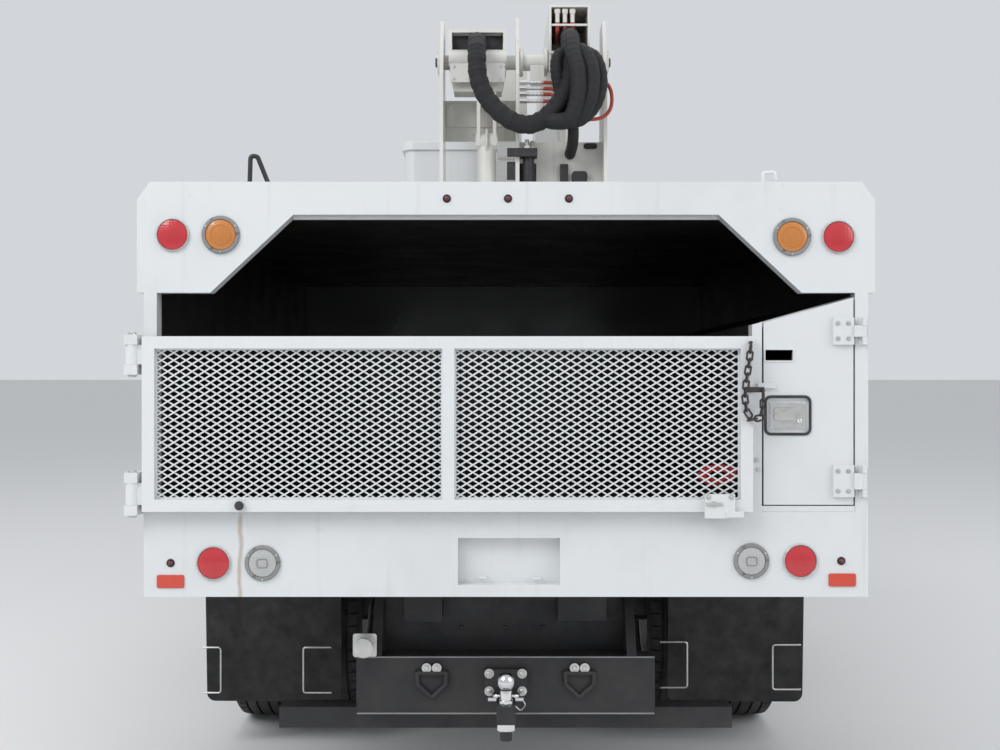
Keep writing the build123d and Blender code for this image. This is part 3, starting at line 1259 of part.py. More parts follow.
def rear_lamps():
    """Round lamps, small markers and the two flat reflectors, proud of the tail."""
    lamps = [rod_y(x, z, r, -14, 0) for x, z, r in LAMPS]
    lamps += [rod_y(x, z, 14, -12, 0) for x, z in MARKERS]
    lamps += [block(x - 46, x + 46, -5, 0, z - 22, z + 22) for x, z in REFLECTORS]
    return Compound(children=lamps)


def main():
    save("frame_rails", frame_rails())
    save("rear_hitch", rear_hitch())
    save("mud_flaps", mud_flaps())
    save("front_axle", front_axle())
    save("rear_axle", rear_axle())
    save("fuel_tank", fuel_tank())
    save("battery_box", battery_box())
    save("front_bumper", front_bumper())
    save("cab_floor", cab_floor())
    save("cab_cowl", cab_cowl())
    save("cab_back_wall", cab_back_wall())
    save("cab_roof", cab_roof())
    save("cab_glass", cab_glass())
    save("cab_seats", cab_seats())
    save("engine_block", engine_block())
    save("pedestal", pedestal())
    save("hood_shell", hood_shell())
    save("headlamps", headlamps())
    for word, side in (("left", -1), ("right", 1)):
        save(f"cab_side_{word}", cab_side(side))
        save(f"cab_door_{word}", cab_door(side))
        save(f"knuckle_{word}", knuckle(side))
        rubber, wheel = front_wheel(side)
        save(f"tyre_front_{word}", rubber)
        save(f"rim_front_{word}", wheel)
        rubber, wheel = rear_wheel(side)
        save(f"tyres_rear_{word}", rubber)
        save(f"rims_rear_{word}", wheel)
    floor, front, roof, sides = chip_box_walls()
    save("box_floor", floor)
    save("box_front_wall", front)
    save("box_roof", roof)
    save("box_side_left", sides[0])
    save("box_side_right", sides[1])
    save("rear_frame", rear_frame())
    save("side_locker", side_locker())
    save("locker_door", locker_door())
    save("rear_lamps", rear_lamps())
    save("gate_frame", gate_frame())
    save("gate_mesh", gate_mesh())
    save("gate_chain", gate_chain())
    save("turret_frame", turret_frame())
    save("lift_cylinder", lift_cylinder())
    save("lift_rod", lift_rod())
    save("hoist_cylinder", hoist_cylinder())
    save("hoist_rod", hoist_rod())
    save("hose_bundle", hose_bundle())
    save("beam_stay", beam_stay())
    save("swivel_post", swivel_post())
    save("hose_box", hose_box())
    save("lower_boom", lower_boom())
    save("elbow_link", elbow_link())
    save("upper_boom", upper_boom())
    save("bucket", bucket())


main()
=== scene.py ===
"""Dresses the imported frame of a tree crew's bucket truck: paint, tyres, lamps, hoses and stage.

A place is (x, ahead, z) in metres: right of the middle, ahead of the chip box's rear face, and
above the ground.
"""

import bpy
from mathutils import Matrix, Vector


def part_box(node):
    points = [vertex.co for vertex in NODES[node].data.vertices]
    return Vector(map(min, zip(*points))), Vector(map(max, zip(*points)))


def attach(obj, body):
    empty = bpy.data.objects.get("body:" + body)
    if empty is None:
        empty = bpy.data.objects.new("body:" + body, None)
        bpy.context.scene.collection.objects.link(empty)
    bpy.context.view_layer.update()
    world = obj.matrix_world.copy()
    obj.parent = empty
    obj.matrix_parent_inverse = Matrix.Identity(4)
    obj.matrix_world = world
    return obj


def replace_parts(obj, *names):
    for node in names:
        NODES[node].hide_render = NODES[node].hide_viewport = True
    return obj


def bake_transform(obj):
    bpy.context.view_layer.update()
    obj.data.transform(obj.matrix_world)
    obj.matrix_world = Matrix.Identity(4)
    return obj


bl_info = {
    "name": "Bucket truck dressing",
    "version": (1, 0, 0),
    "blender": (4, 5, 0),
    "location": "View3D > Sidebar > Truck",
    "description": "Dresses the packed frame of a bucket truck and sets its stage",
    "category": "Object",
}

from math import pi, radians

import bmesh
import bpy
import numpy as np
from bpy.props import FloatProperty, FloatVectorProperty, PointerProperty
from mathutils import Vector

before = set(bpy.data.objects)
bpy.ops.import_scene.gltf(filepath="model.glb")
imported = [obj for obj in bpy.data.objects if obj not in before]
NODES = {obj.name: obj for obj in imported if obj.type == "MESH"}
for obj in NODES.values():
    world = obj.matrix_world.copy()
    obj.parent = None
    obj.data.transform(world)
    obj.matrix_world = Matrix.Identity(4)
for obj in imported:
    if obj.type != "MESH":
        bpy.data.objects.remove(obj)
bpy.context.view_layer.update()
TAIL_Y = -4.365

RIGHT = np.array([1.0, 0.0, 0.0])
FORWARD = np.array([0.0, 1.0, 0.0])
UP = np.array([0.0, 0.0, 1.0])
SIDES = ((-1, "left"), (1, "right"))
SAME_POINT = 1e-6
FINISHES = {}


def at(x, ahead, z):
    """A place in the frame's own coordinates."""
    return np.array([x, TAIL_Y + ahead, z])


def all_at(places):
    """Places in the frame's own coordinates, one a row."""
    return np.array([at(*place) for place in places])


def node_low(node):
    """The low corner of a frame node's box."""
    return np.array(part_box(node)[0])


def node_high(node):
    """The high corner of a frame node's box."""
    return np.array(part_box(node)[1])


# Surfaces, each a grid of points with its wraps along rows and columns

def grid_faces(rows, columns, wrap_rows, wrap_columns):
    """Quads between neighbouring rows and columns, with each corner's row and column for a UV map."""
    r = np.arange(rows if wrap_rows else rows - 1)[:, None]
    c = np.arange(columns if wrap_columns else columns - 1)[None, :]
    corner_r = np.stack(np.broadcast_arrays(r, r, r + 1, r + 1 + 0 * c), -1)
    corner_c = np.stack(np.broadcast_arrays(c, c + 1, c + 1, c + 0 * r), -1)
    faces = (corner_r % rows) * columns + corner_c % columns
    return faces.reshape(-1, 4), corner_r.reshape(-1), corner_c.reshape(-1)


def fitted(name, grids, finish, body, crease=35.0, uv_size=None):
    """One object from grids, with doubles merged, faces outwards, a finish and a body."""
    points, faces, uvs, start = [], [], [], 0
    for grid, wrap_rows, wrap_columns in grids:
        rows, columns = grid.shape[:2]
        quads, corner_r, corner_c = grid_faces(rows, columns, wrap_rows, wrap_columns)
        points.append(grid.reshape(-1, 3))
        faces.append(quads + start)
        uvs.append(np.stack([corner_c / columns, corner_r / rows], -1))
        start += rows * columns
    mesh = bpy.data.meshes.new(name)
    mesh.from_pydata(np.concatenate(points).tolist(), [], np.concatenate(faces).tolist())
    if uv_size is not None:
        layer = mesh.uv_layers.new(name="surface")
        uv = np.concatenate(uvs) * np.array(uv_size)
        layer.data.foreach_set("uv", uv.astype(np.float32).ravel())
    bm = bmesh.new()
    bm.from_mesh(mesh)
    bmesh.ops.remove_doubles(bm, verts=bm.verts, dist=SAME_POINT)
    bmesh.ops.recalc_face_normals(bm, faces=bm.faces)
    bm.to_mesh(mesh)
    bm.free()
    mesh.polygons.foreach_set("use_smooth", np.ones(len(mesh.polygons), bool))
    mesh.set_sharp_from_angle(angle=radians(crease))
    mesh.materials.append(FINISHES[finish].material)
    obj = bpy.data.objects.new(name, mesh)
    bpy.context.scene.collection.objects.link(obj)
    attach(obj, body)
    return obj


def turned(profile, centre, axis, steps=48, wrap_profile=False):
    """A lathe form of (axial, radius) pairs, turned about an axis a.

    P = centre + axial * a + radius * (cos t * b + sin t * c)
    """
    axis = np.asarray(axis, float) / np.linalg.norm(axis)
    b = np.cross(axis, RIGHT if abs(axis[0]) < 0.9 else UP)
    b /= np.linalg.norm(b)
    c = np.cross(axis, b)
    t = np.linspace(0, 2 * pi, steps, endpoint=False)[:, None, None]
    profile = np.asarray(profile, float)
    ring = np.cos(t) * b + np.sin(t) * c
    grid = at(*centre) + profile[None, :, :1] * axis + profile[None, :, 1:] * ring
    return grid, True, wrap_profile


def capped(*pairs):
    """A lathe profile of (axial, radius) pairs, closed onto the axis at both ends."""
    profile = [(pairs[0][0], 0.0), *pairs]
    if pairs[-1][1]:
        profile.append((pairs[-1][0], 0.0))
    return profile


def rounded_rectangle(width, height, radius, per_corner=6):
    """Corner arcs joined by straight runs: the outline's points and its outward normals."""
    turn = np.repeat(np.arange(4), per_corner) * pi / 2
    turn += np.tile(np.linspace(0, pi / 2, per_corner), 4)
    normal = np.stack([np.cos(turn), np.sin(turn)], -1)
    signs = np.repeat(np.array([[1, 1], [-1, 1], [-1, -1], [1, -1]]), per_corner, axis=0)
    return signs * np.array([width / 2 - radius, height / 2 - radius]) + radius * normal, normal


def slab(outline, steps, origin, right, up):
    """A plate on an outline, given by its steps of (inset, height).

    P = origin + outline - inset * normal + height * facing
    """
    points, normals = outline
    steps = np.asarray(steps, float)
    flat = points[None] - steps[:, None, :1] * normals[None]
    middle = np.broadcast_to(points.mean(axis=0), (1,) + points.shape)
    flat = np.concatenate([middle, flat, middle])
    height = np.concatenate([steps[:1, 1], steps[:, 1], steps[-1:, 1]])[:, None, None]
    raised = height * np.cross(right, up)
    return at(*origin) + flat[..., :1] * right + flat[..., 1:] * up + raised, False, True


def swept(path, radius, sides=12, closed=False):
    """A round section carried along a path, with b square to the path's plane.

    P = path + radius * (cos t * b + sin t * c)
    """
    if closed:
        tangent = np.roll(path, -1, axis=0) - np.roll(path, 1, axis=0)
    else:
        tangent = np.gradient(path, axis=0)
    tangent /= np.linalg.norm(tangent, axis=1, keepdims=True)
    plane = np.linalg.svd(path - path.mean(axis=0))[2][2]
    b = plane - (tangent @ plane)[:, None] * tangent
    b /= np.linalg.norm(b, axis=1, keepdims=True)
    c = np.cross(tangent, b)
    t = np.linspace(0, 2 * pi, sides, endpoint=False)[None, :, None]
    reach = np.broadcast_to(radius, len(path))[:, None, None]
    grid = path[:, None] + reach * (np.cos(t) * b[:, None] + np.sin(t) * c[:, None])
    if closed:
        return grid, True, True
    ends = [np.broadcast_to(path[i], (1, sides, 3)) for i in (0, -1)]
    return np.concatenate([ends[0], grid, ends[1]]), False, True


def bent(corners, radius, per_corner=6):
    """A wire's line through corners, each rounded by a parabola that is tangent to both runs."""
    line = [corners[:1]]
    for before, corner, after in zip(corners, corners[1:], corners[2:]):
        into = (corner - before) / np.linalg.norm(corner - before)
        out = (after - corner) / np.linalg.norm(after - corner)
        cut = radius * np.tan(np.arccos(np.clip(into @ out, -1, 1)) / 2)
        s = np.linspace(0, 1, per_corner)[:, None]
        start, end = corner - cut * into, corner + cut * out
        line.append((1 - s) ** 2 * start + 2 * s * (1 - s) * corner + s**2 * end)
    line.append(corners[-1:])
    line = np.concatenate(line)
    apart = np.linalg.norm(np.diff(line, axis=0), axis=1) > SAME_POINT
    return line[np.r_[True, apart]]


def hose_line(route):
    """Points along the quadratic NURBS spline of a route, with the line's length."""
    curve = bpy.data.curves.new("route", "CURVE")
    curve.dimensions = "3D"
    spline = curve.splines.new("NURBS")
    spline.points.add(len(route) - 1)
    flat = np.concatenate([all_at(route), np.ones((len(route), 1))], axis=1)
    spline.points.foreach_set("co", flat.astype(np.float32).ravel())
    spline.order_u = 3
    spline.use_endpoint_u = True
    spline.resolution_u = 12
    holder = bpy.data.objects.new("route", curve)
    mesh = bpy.data.meshes.new_from_object(holder)
    line = np.empty(len(mesh.vertices) * 3)
    mesh.vertices.foreach_get("co", line)
    bpy.data.objects.remove(holder)
    bpy.data.meshes.remove(mesh)
    bpy.data.curves.remove(curve)
    line = line.reshape(-1, 3)
    return line, float(np.linalg.norm(np.diff(line, axis=0), axis=1).sum())


# Small parts, each a grid or a list of grids

def bolts(places, axis, radius=0.008):
    """A washer and a six-sided head at each place."""
    foot = 0.28 * radius
    washer = capped((0.0, 1.8 * radius), (foot, 1.8 * radius))
    head = capped((foot, radius), (0.85 * radius, radius), (radius, 0.8 * radius))
    forms = ((washer, 16), (head, 6))
    return [turned(profile, place, axis, steps) for place in places for profile, steps in forms]


def plate(origin, right, up, width, height, thick, radius=0.003, edge=0.001):
    """A flat plate with rounded corners and a small bevel, lying on its origin, facing right x up."""
    steps = [(0.0, 0.0), (0.0, thick - edge), (edge, thick)]
    return slab(rounded_rectangle(width, height, radius), steps, origin, right, up)


def upright(origin, width, height, thick, radius=0.003, edge=0.001):
    """A plate that faces the rear."""
    return plate(origin, RIGHT, UP, width, height, thick, radius, edge)


def pipe(corners, bend, radius, sides=12):
    """A round rod through places, bent at each one between its ends."""
    return swept(bent(all_at(corners), bend), radius, sides)


def mirrored(side, places):
    """Places of the right side, carried to either side."""
    return [(side * x, ahead, z) for x, ahead, z in places]


def circle(first, second, radius, angles):
    """Two coordinates of places round a circle: its centre + radius * (cos a, sin a)."""
    return [(first + radius * np.cos(a), second + radius * np.sin(a)) for a in angles]


def loop(corners, bend, radius, sides=8):
    """A closed bead along a polygon with rounded corners."""
    corners = all_at(corners)
    middle = (corners[:1] + corners[-1:]) / 2
    path = bent(np.concatenate([middle, corners, middle]), bend)[:-1]
    return swept(path, radius, sides, closed=True)


def drum(start, end, radius, lip=0.012, steps=32):
    """A cylinder between two places, with ends of (lip * (1 - cos t), radius * sin t)."""
    axis = np.subtract(end, start)
    t = np.linspace(0, pi / 2, 7)
    dome = np.stack([lip * (1 - np.cos(t)), radius * np.sin(t)], -1)
    far = np.stack([np.linalg.norm(axis) - dome[::-1, 0], dome[::-1, 1]], -1)
    return turned(np.concatenate([dome, far]), start, axis, steps)


def hose_end(place, axis, reach, radius=0.015):
    """A crimped hose end: hexagon nut, collar and ribbed ferrule on one axis."""
    nut = capped((0.0, 1.35 * radius), (0.3 * reach, 1.35 * radius))
    ribs = [(0.3 * reach, radius)]
    for k in range(4):
        ribs += [(reach * (0.40 + 0.15 * k), radius), (reach * (0.44 + 0.15 * k), 0.88 * radius),
                 (reach * (0.50 + 0.15 * k), 0.88 * radius), (reach * (0.53 + 0.15 * k), radius)]
    ribs.append((reach, 0.9 * radius))
    return [turned(nut, place, axis, 6), turned(capped(*ribs), place, axis, 24)]


# Finishes

def shade(color, share, lift=0.0):
    """A colour scaled by a share and lifted, up to white."""
    return tuple(min(1.0, share * c + lift) for c in color)


class Finish:
    """A Principled material with constant sockets, over which layers are laid."""

    def __init__(self, name, color, roughness, metallic=0.0, coat=0.0):
        self.material = bpy.data.materials.new(name)
        self.material.use_nodes = True
        self.material.diffuse_color = (*color, 1.0)
        self.tree = self.material.node_tree
        self.shader = self.tree.nodes["Principled BSDF"]
        self.constant("Base Color", (*color, 1.0))
        self.constant("Roughness", roughness)
        self.constant("Metallic", metallic)
        self.constant("Coat Weight", coat)

    def constant(self, socket, value):
        """Sets one of the shader's sockets."""
        self.shader.inputs[socket].default_value = value

    def node(self, kind, values=None, links=None, **settings):
        """A node with its settings, its sockets' values and the sockets that feed it."""
        node = self.tree.nodes.new(f"ShaderNode{kind}")
        for key, value in settings.items():
            setattr(node, key, value)
        for key, value in (values or {}).items():
            node.inputs[key].default_value = value
        for key, source in (links or {}).items():
            self.tree.links.new(source, node.inputs[key])
        return node

    def places(self, stretch=(1.0, 1.0, 1.0), kind="Object"):
        """Object or UV coordinates through a mapping that stretches the pattern."""
        source = self.node("TexCoord").outputs[kind]
        return self.node("Mapping", {"Scale": stretch}, {"Vector": source}).outputs["Vector"]

    def split(self, vector):
        """A vector's X, Y and Z."""
        return self.node("SeparateXYZ", links={0: vector}).outputs

    def span(self, source, values):
        """A value carried from one range to another."""
        return self.node("MapRange", values, {"Value": source}).outputs["Result"]

    def maths(self, operation, *terms):
        """A math node on sockets and numbers."""
        node = self.node("Math", operation=operation)
        for term, socket in zip(terms, node.inputs):
            if isinstance(term, (int, float)):
                socket.default_value = term
            else:
                self.tree.links.new(term, socket)
        return node.outputs[0]

    def product(self, first, second):
        """Two sockets, or a socket and a number, multiplied."""
        return self.maths("MULTIPLY", first, second)

    def mask(self, vector, scale, low, high, detail=4.0):
        """Noise cut between two levels to a 0..1 mask."""
        values = {"Scale": scale, "Detail": detail, "Roughness": 0.6}
        noise = self.node("TexNoise", values, {"Vector": vector}).outputs["Fac"]
        return self.span(noise, {"From Min": low, "From Max": high})

    def colour(self, mask, color):
        """Lays a second colour over whatever feeds the base colour, through a mask."""
        mix = self.node("Mix", {"B": (*color, 1.0)}, {"Factor": mask}, data_type="RGBA")
        base = self.shader.inputs["Base Color"]
        if base.is_linked:
            self.tree.links.new(base.links[0].from_socket, mix.inputs["A"])
        else:
            mix.inputs["A"].default_value = base.default_value
        self.tree.links.new(mix.outputs["Result"], base)

    def rough(self, mask, low, high):
        """Lets a mask set the roughness between two values."""
        span = self.span(mask, {"To Min": low, "To Max": high})
        self.tree.links.new(span, self.shader.inputs["Roughness"])

    def relief(self, height, depth, strength=1.0):
        """A bump from a height socket, chained onto any earlier one."""
        bump = self.node("Bump", {"Strength": strength, "Distance": depth}, {"Height": height})
        normal = self.shader.inputs["Normal"]
        if normal.is_linked:
            self.tree.links.new(normal.links[0].from_socket, bump.inputs["Normal"])
        self.tree.links.new(bump.outputs["Normal"], normal)

    def grain(self, vector, scale, detail, depth, strength):
        """Noise as relief."""
        noise = self.node("TexNoise", {"Scale": scale, "Detail": detail}, {"Vector": vector})
        self.relief(noise.outputs["Fac"], depth, strength)

    def wave(self, vector, values, direction="X"):
        """Sine bands across one direction."""
        bands = self.node("TexWave", values, {"Vector": vector}, bands_direction=direction)
        return bands.outputs["Fac"]

    def crossed(self, vector, scale):
        """Two sets of waves that cross at right angles, each at 45 degrees to X."""
        turns = [self.node("Mapping", {"Rotation": (0.0, 0.0, lean * pi / 4)}, {"Vector": vector})
                 for lean in (1.0, -1.0)]
        return self.product(*(self.wave(turn.outputs["Vector"], {"Scale": scale}) for turn in turns))


def enamel(name, color, grime=(0.42, 0.40, 0.36), cover=0.35):
    """Sprayed enamel: fine orange peel, cloudy grime, and thin runs of dirt that hang down."""
    paint = Finish(name, color, 0.32, coat=0.25)
    paint.constant("Coat Roughness", 0.12)
    here = paint.places()
    paint.colour(paint.product(paint.mask(here, 1.7, 0.5, 0.85), cover), grime)
    runs = paint.places((26.0, 26.0, 1.1))
    paint.colour(paint.product(paint.mask(runs, 1.0, 0.60, 0.82, 2.0), cover * 0.8), grime)
    paint.rough(paint.mask(here, 5.0, 0.3, 0.7), 0.26, 0.44)
    paint.grain(here, 260.0, 2.0, 0.0004, 0.25)
    return paint


def weathered_enamel(name, color):
    """Boom enamel with rust where the paint has gone, in small patches and the runs below them."""
    paint = enamel(name, color, cover=0.5)
    patches = paint.mask(paint.places(), 12.0, 0.66, 0.76, 6.0)
    runs = paint.mask(paint.places((30.0, 30.0, 2.0)), 1.0, 0.70, 0.80, 3.0)
    paint.colour(paint.product(patches, 0.6), (0.24, 0.10, 0.05))
    paint.colour(paint.product(runs, 0.5), (0.30, 0.17, 0.09))
    return paint


def tail_enamel(name, color, streak_x):
    """The tail's enamel, with a thin brown stain that runs down the sill below the gate's knob."""
    paint = enamel(name, color)
    here = paint.places()
    wander = paint.node("TexNoise", {"Scale": 9.0, "Detail": 3.0}, {"Vector": here}).outputs["Fac"]
    x, _, z = paint.split(here)
    shift = paint.maths("MULTIPLY_ADD", wander, STREAK_WANDER, -streak_x - STREAK_WANDER / 2)
    off = paint.maths("ABSOLUTE", paint.maths("ADD", x, shift))
    band = paint.span(off, {"From Min": 0.002, "From Max": 0.011, "To Min": 0.55, "To Max": 0.0})
    below = paint.span(z, {"From Min": 1.12, "From Max": 1.15, "To Min": 1.0, "To Max": 0.0})
    paint.colour(paint.product(band, below), STREAK_BROWN)
    return paint


def inner_shade_enamel(name, color, shade_tint, half_width, roof_z, tail_ahead, wall_ahead):
    """Body enamel that turns to a near black painted shade on the chip box's inner faces, which lie in
    the box's shade.
    """
    paint = enamel(name, color)
    x, y, z = paint.split(paint.places())
    within = paint.maths("LESS_THAN", paint.maths("ABSOLUTE", x), half_width)
    below = paint.maths("LESS_THAN", z, roof_z)
    behind = paint.maths("GREATER_THAN", y, TAIL_Y + tail_ahead)
    before = paint.maths("LESS_THAN", y, TAIL_Y + wall_ahead)
    paint.colour(paint.product(paint.product(within, below), paint.product(behind, before)), shade_tint)
    return paint


def chassis_black(name):
    """Satin black underbody paint with dry road dust that thickens towards the ground."""
    paint = Finish(name, (0.018, 0.018, 0.02), 0.42)
    here = paint.places()
    fade = {"From Min": 0.2, "From Max": 1.3, "To Min": 1.0, "To Max": 0.0}
    near = paint.span(paint.split(here)["Z"], fade)
    dust = paint.product(paint.mask(here, 6.0, 0.42, 0.8), near)
    paint.colour(paint.product(dust, 0.5), (0.065, 0.058, 0.050))
    paint.rough(paint.mask(here, 11.0, 0.3, 0.7), 0.40, 0.66)
    paint.grain(here, 140.0, 3.0, 0.0006, 0.4)
    return paint


def rubber(name, color, dust):
    """Matt rubber, plastic or cast iron with dust in patches."""
    finish = Finish(name, color, 0.7)
    here = finish.places()
    finish.colour(finish.product(finish.mask(here, 9.0, 0.4, 0.8), 0.6), dust)
    finish.rough(finish.mask(here, 20.0, 0.3, 0.7), 0.6, 0.88)
    finish.grain(here, 190.0, 4.0, 0.0007, 0.5)
    return finish


def braided(name, color, thread):
    """Woven hose sleeve: two crossing sets of threads on the piece's UV map, in metres."""
    finish = Finish(name, color, 0.55)
    weave = finish.crossed(finish.places(kind="UV"), 1.0 / thread)
    finish.colour(finish.product(weave, 0.5), shade(color, 2.0, 0.006))
    finish.relief(weave, 0.0012, 0.8)
    finish.grain(finish.places(), 14.0, 3.0, 0.012, 0.6)
    return finish


def bare_metal(name, color, roughness, spots=(0.2, 0.15, 0.1), cover=0.2):
    """Bare or plated metal with clouded gloss and a few dull spots."""
    metal = Finish(name, color, roughness, metallic=1.0)
    here = metal.places()
    metal.colour(metal.product(metal.mask(here, 30.0, 0.5, 0.8), cover), spots)
    metal.rough(metal.mask(here, 55.0, 0.3, 0.7), roughness * 0.75, min(1.0, roughness * 1.5))
    return metal


def lens(name, color):
    """Moulded lamp plastic: small prisms below a glossy skin, colour mottled between them."""
    plastic = Finish(name, color, 0.22, coat=0.6)
    values = {"Scale": 110.0, "Randomness": 0.15}
    cells = plastic.node("TexVoronoi", values, {"Vector": plastic.places()}).outputs["Distance"]
    plastic.colour(plastic.product(cells, 0.9), shade(color, 0.62))
    plastic.relief(cells, 0.0015, 0.5)
    return plastic


def tread_plate(name):
    """Aluminium step plate with a raised lozenge pattern."""
    metal = bare_metal(name, (0.62, 0.63, 0.64), 0.36)
    raised = metal.span(metal.crossed(metal.places(), 9.0), {"From Min": 0.55, "From Max": 0.75})
    metal.relief(raised, 0.002, 0.9)
    return metal


def clear_glass(name):
    """Thin cab glass, nearly clear, faintly green, with a little dust that dulls it."""
    glass = Finish(name, (0.82, 0.90, 0.88), 0.03)
    glass.constant("Transmission Weight", 0.95)
    glass.constant("IOR", 1.1)
    glass.rough(glass.mask(glass.places(), 4.0, 0.45, 0.9), 0.02, 0.14)
    return glass


def woven(name, color):
    """Seat cloth: a fine square weave with soft sheen."""
    cloth = Finish(name, color, 0.9)
    cloth.constant("Sheen Weight", 0.3)
    here = cloth.places()
    values = {"Scale": 95.0, "Distortion": 0.6}
    weave = cloth.product(cloth.wave(here, values), cloth.wave(here, values, "Z"))
    cloth.colour(cloth.product(weave, 0.5), shade(color, 2.2, 0.02))
    cloth.relief(weave, 0.0015, 0.7)
    return cloth


# Sizes and colours that a user would change

def tint(name, text, color):
    """A colour that the panel shows."""
    return FloatVectorProperty(
        name=name, description=text, subtype="COLOR", default=color, min=0.0, max=1.0,
    )


def size(name, text, metres):
    """A size that the panel shows."""
    return FloatProperty(name=name, description=text, unit="LENGTH", default=metres)


class TruckColours(bpy.types.PropertyGroup):
    """Colours of the paints and plastics."""
    body_paint: tint("Body paint", "Colour of the chip box, gate and cab", (0.66, 0.68, 0.69))
    boom_paint: tint("Boom paint", "Colour of the turret and booms", (0.66, 0.65, 0.61))
    hose: tint("Hydraulic hose", "Colour of the bare hydraulic hoses", (0.42, 0.05, 0.03))
    red_lens: tint("Red lens", "Colour of the stop and tail lamps", (0.58, 0.025, 0.035))
    amber_lens: tint("Amber lens", "Colour of the turn lamps", (0.62, 0.22, 0.04))


class TruckSizes(bpy.types.PropertyGroup):
    """Sizes of the added pieces and of the view."""
    tread_depth: size("Tread depth", "Depth of the tyres' grooves", 0.012)
    tread_blocks: size("Tread pitch", "Length of one tread block on the tyre's outside", 0.055)
    lens_crown: size("Lens crown", "How far a round lens bulges", 0.008)
    camera_back: size("Camera distance", "Distance of the camera behind the tail", 4.2)
    camera_height: size("Camera height", "Height of the camera above the ground", 1.6)


def colours():
    """The panel's colours."""
    return bpy.context.scene.truck_colours


def sizes():
    """The panel's sizes."""
    return bpy.context.scene.truck_sizes


# Paint, and which finish each frame node wears

# Near black painted shade for the chip box's inner faces and floor, where the box's shade falls
BOX_SHADE = (0.016, 0.015, 0.014)
CHAIN_RUST = (0.06, 0.035, 0.025)
BOX_INSIDE = {"half_width": 1.183, "roof_z": 2.133, "tail_ahead": 0.061, "wall_ahead": 3.33}
STREAK_X = -0.894
STREAK_WANDER = 0.03
STREAK_BROWN = (0.33, 0.20, 0.10)
FINISH_NODES = {
    "body": "cab_floor cab_cowl cab_back_wall cab_roof cab_side_left cab_side_right cab_door_left"
            " cab_door_right hood_shell locker_door",
    # The chip box's inner faces take a near black painted shade
    "shaded inside": "box_side_left box_side_right box_roof side_locker box_front_wall",
    "tail": "rear_frame",
    # The box floor is painted shade, near black
    "inside": "box_floor",
    "gate": "gate_frame gate_mesh",
    "boom": "pedestal turret_frame hose_box beam_stay lower_boom elbow_link upper_boom lift_cylinder"
            " hoist_cylinder",
    "chain": "gate_chain",
    "chrome": "lift_rod hoist_rod",
    "bucket": "bucket",
    "black": "frame_rails rear_hitch front_axle rear_axle front_bumper knuckle_left knuckle_right"
             " swivel_post",
    "flap": "mud_flaps",
    "aluminium": "fuel_tank battery_box",
    "iron": "engine_block",
    "sleeve": "hose_bundle",
    "glass": "cab_glass",
    "cloth": "cab_seats",
    "clear": "headlamps",
    "red": "rear_lamps",
    "tyre": "tyre_front_left tyre_front_right tyres_rear_left tyres_rear_right",
    "wheel": "rim_front_left rim_front_right rims_rear_left rims_rear_right",
}


class TRUCK_OT_paint(bpy.types.Operator):
    """Mixes the finishes and gives every frame node its own"""
    bl_idname = "truck.paint"
    bl_label = "Paint the frame"

    def execute(self, context):
        body = tuple(colours().body_paint)
        boom = tuple(colours().boom_paint)
        FINISHES.update({
            "body": enamel("body enamel", body),
            "tail": tail_enamel("tail enamel", body, STREAK_X),
            # The box's inner faces and floor wear a near black painted shade
            "shaded inside": inner_shade_enamel("box enamel with painted inner shade", body, BOX_SHADE, **BOX_INSIDE),
            "inside": enamel("box inside painted shade", BOX_SHADE, (0.03, 0.027, 0.02), 0.6),
            "gate": enamel("gate enamel", shade(body, 1.03), cover=0.2),
            "boom": weathered_enamel("boom enamel", boom),
            "bucket": enamel("bucket gelcoat", shade(body, 1.05), cover=0.2),
            "black": chassis_black("underbody black"),
            "flap": rubber("mud flap rubber", (0.012, 0.012, 0.013), (0.05, 0.047, 0.043)),
            "tyre": rubber("tyre rubber", (0.018, 0.018, 0.019), (0.10, 0.09, 0.08)),
            "sleeve": braided("hose sleeve", (0.006, 0.006, 0.007), 0.006),
            "hose": rubber("red hose rubber", tuple(colours().hose), (0.2, 0.1, 0.08)),
            "rope": rubber("red cord", (0.50, 0.015, 0.03), (0.30, 0.05, 0.06)),
            "steel": bare_metal("zinc plated steel", (0.62, 0.62, 0.60), 0.32),
            "chrome": bare_metal("hard chrome", (0.75, 0.75, 0.76), 0.12, cover=0.05),
            "chain": bare_metal("worn chain steel", (0.10, 0.09, 0.085), 0.5, CHAIN_RUST, 0.5),
            "aluminium": bare_metal("tread aluminium", (0.62, 0.63, 0.64), 0.35),
            "tread": tread_plate("step plate aluminium"),
            "mirror": bare_metal("mirror glass", (0.80, 0.82, 0.84), 0.04, cover=0.02),
            "iron": rubber("engine cast iron", (0.06, 0.065, 0.065), (0.12, 0.10, 0.08)),
            "red": lens("red lens", tuple(colours().red_lens)),
            "amber": lens("amber lens", tuple(colours().amber_lens)),
            "clear": lens("clear lens", (0.50, 0.51, 0.50)),
            "dark red": lens("marker lens", (0.10, 0.006, 0.012)),
            "reflector": lens("reflector plastic", (0.68, 0.06, 0.03)),
            "bezel": rubber("lamp bezel plastic", (0.22, 0.22, 0.22), (0.3, 0.3, 0.29)),
            "gasket": rubber("gasket rubber", (0.03, 0.03, 0.032), (0.06, 0.06, 0.06)),
            "glass": clear_glass("cab glass"),
            "cloth": woven("seat cloth", (0.045, 0.047, 0.055)),
            "wheel": enamel("wheel enamel", (0.70, 0.70, 0.67), cover=0.6),
        })
        for finish, nodes in FINISH_NODES.items():
            for node in nodes.split():
                mesh = NODES[node].data
                mesh.materials.clear()
                mesh.materials.append(FINISHES[finish].material)
        return {"FINISHED"}


# Tyres

TYRE_WIDTH = 0.262
BEAD_RADIUS = 0.290
GROOVES = (-0.56, -0.2, 0.2, 0.56)
GROOVE_HALF = 0.045
GROOVE_SLOPE = 0.012
CROWN_DROP = 0.006
SHOULDER = 0.66
NOTCH_SHARE = 0.8
TREAD_STEPS = (-0.80, -0.70, 0.0, 0.70, 0.80)
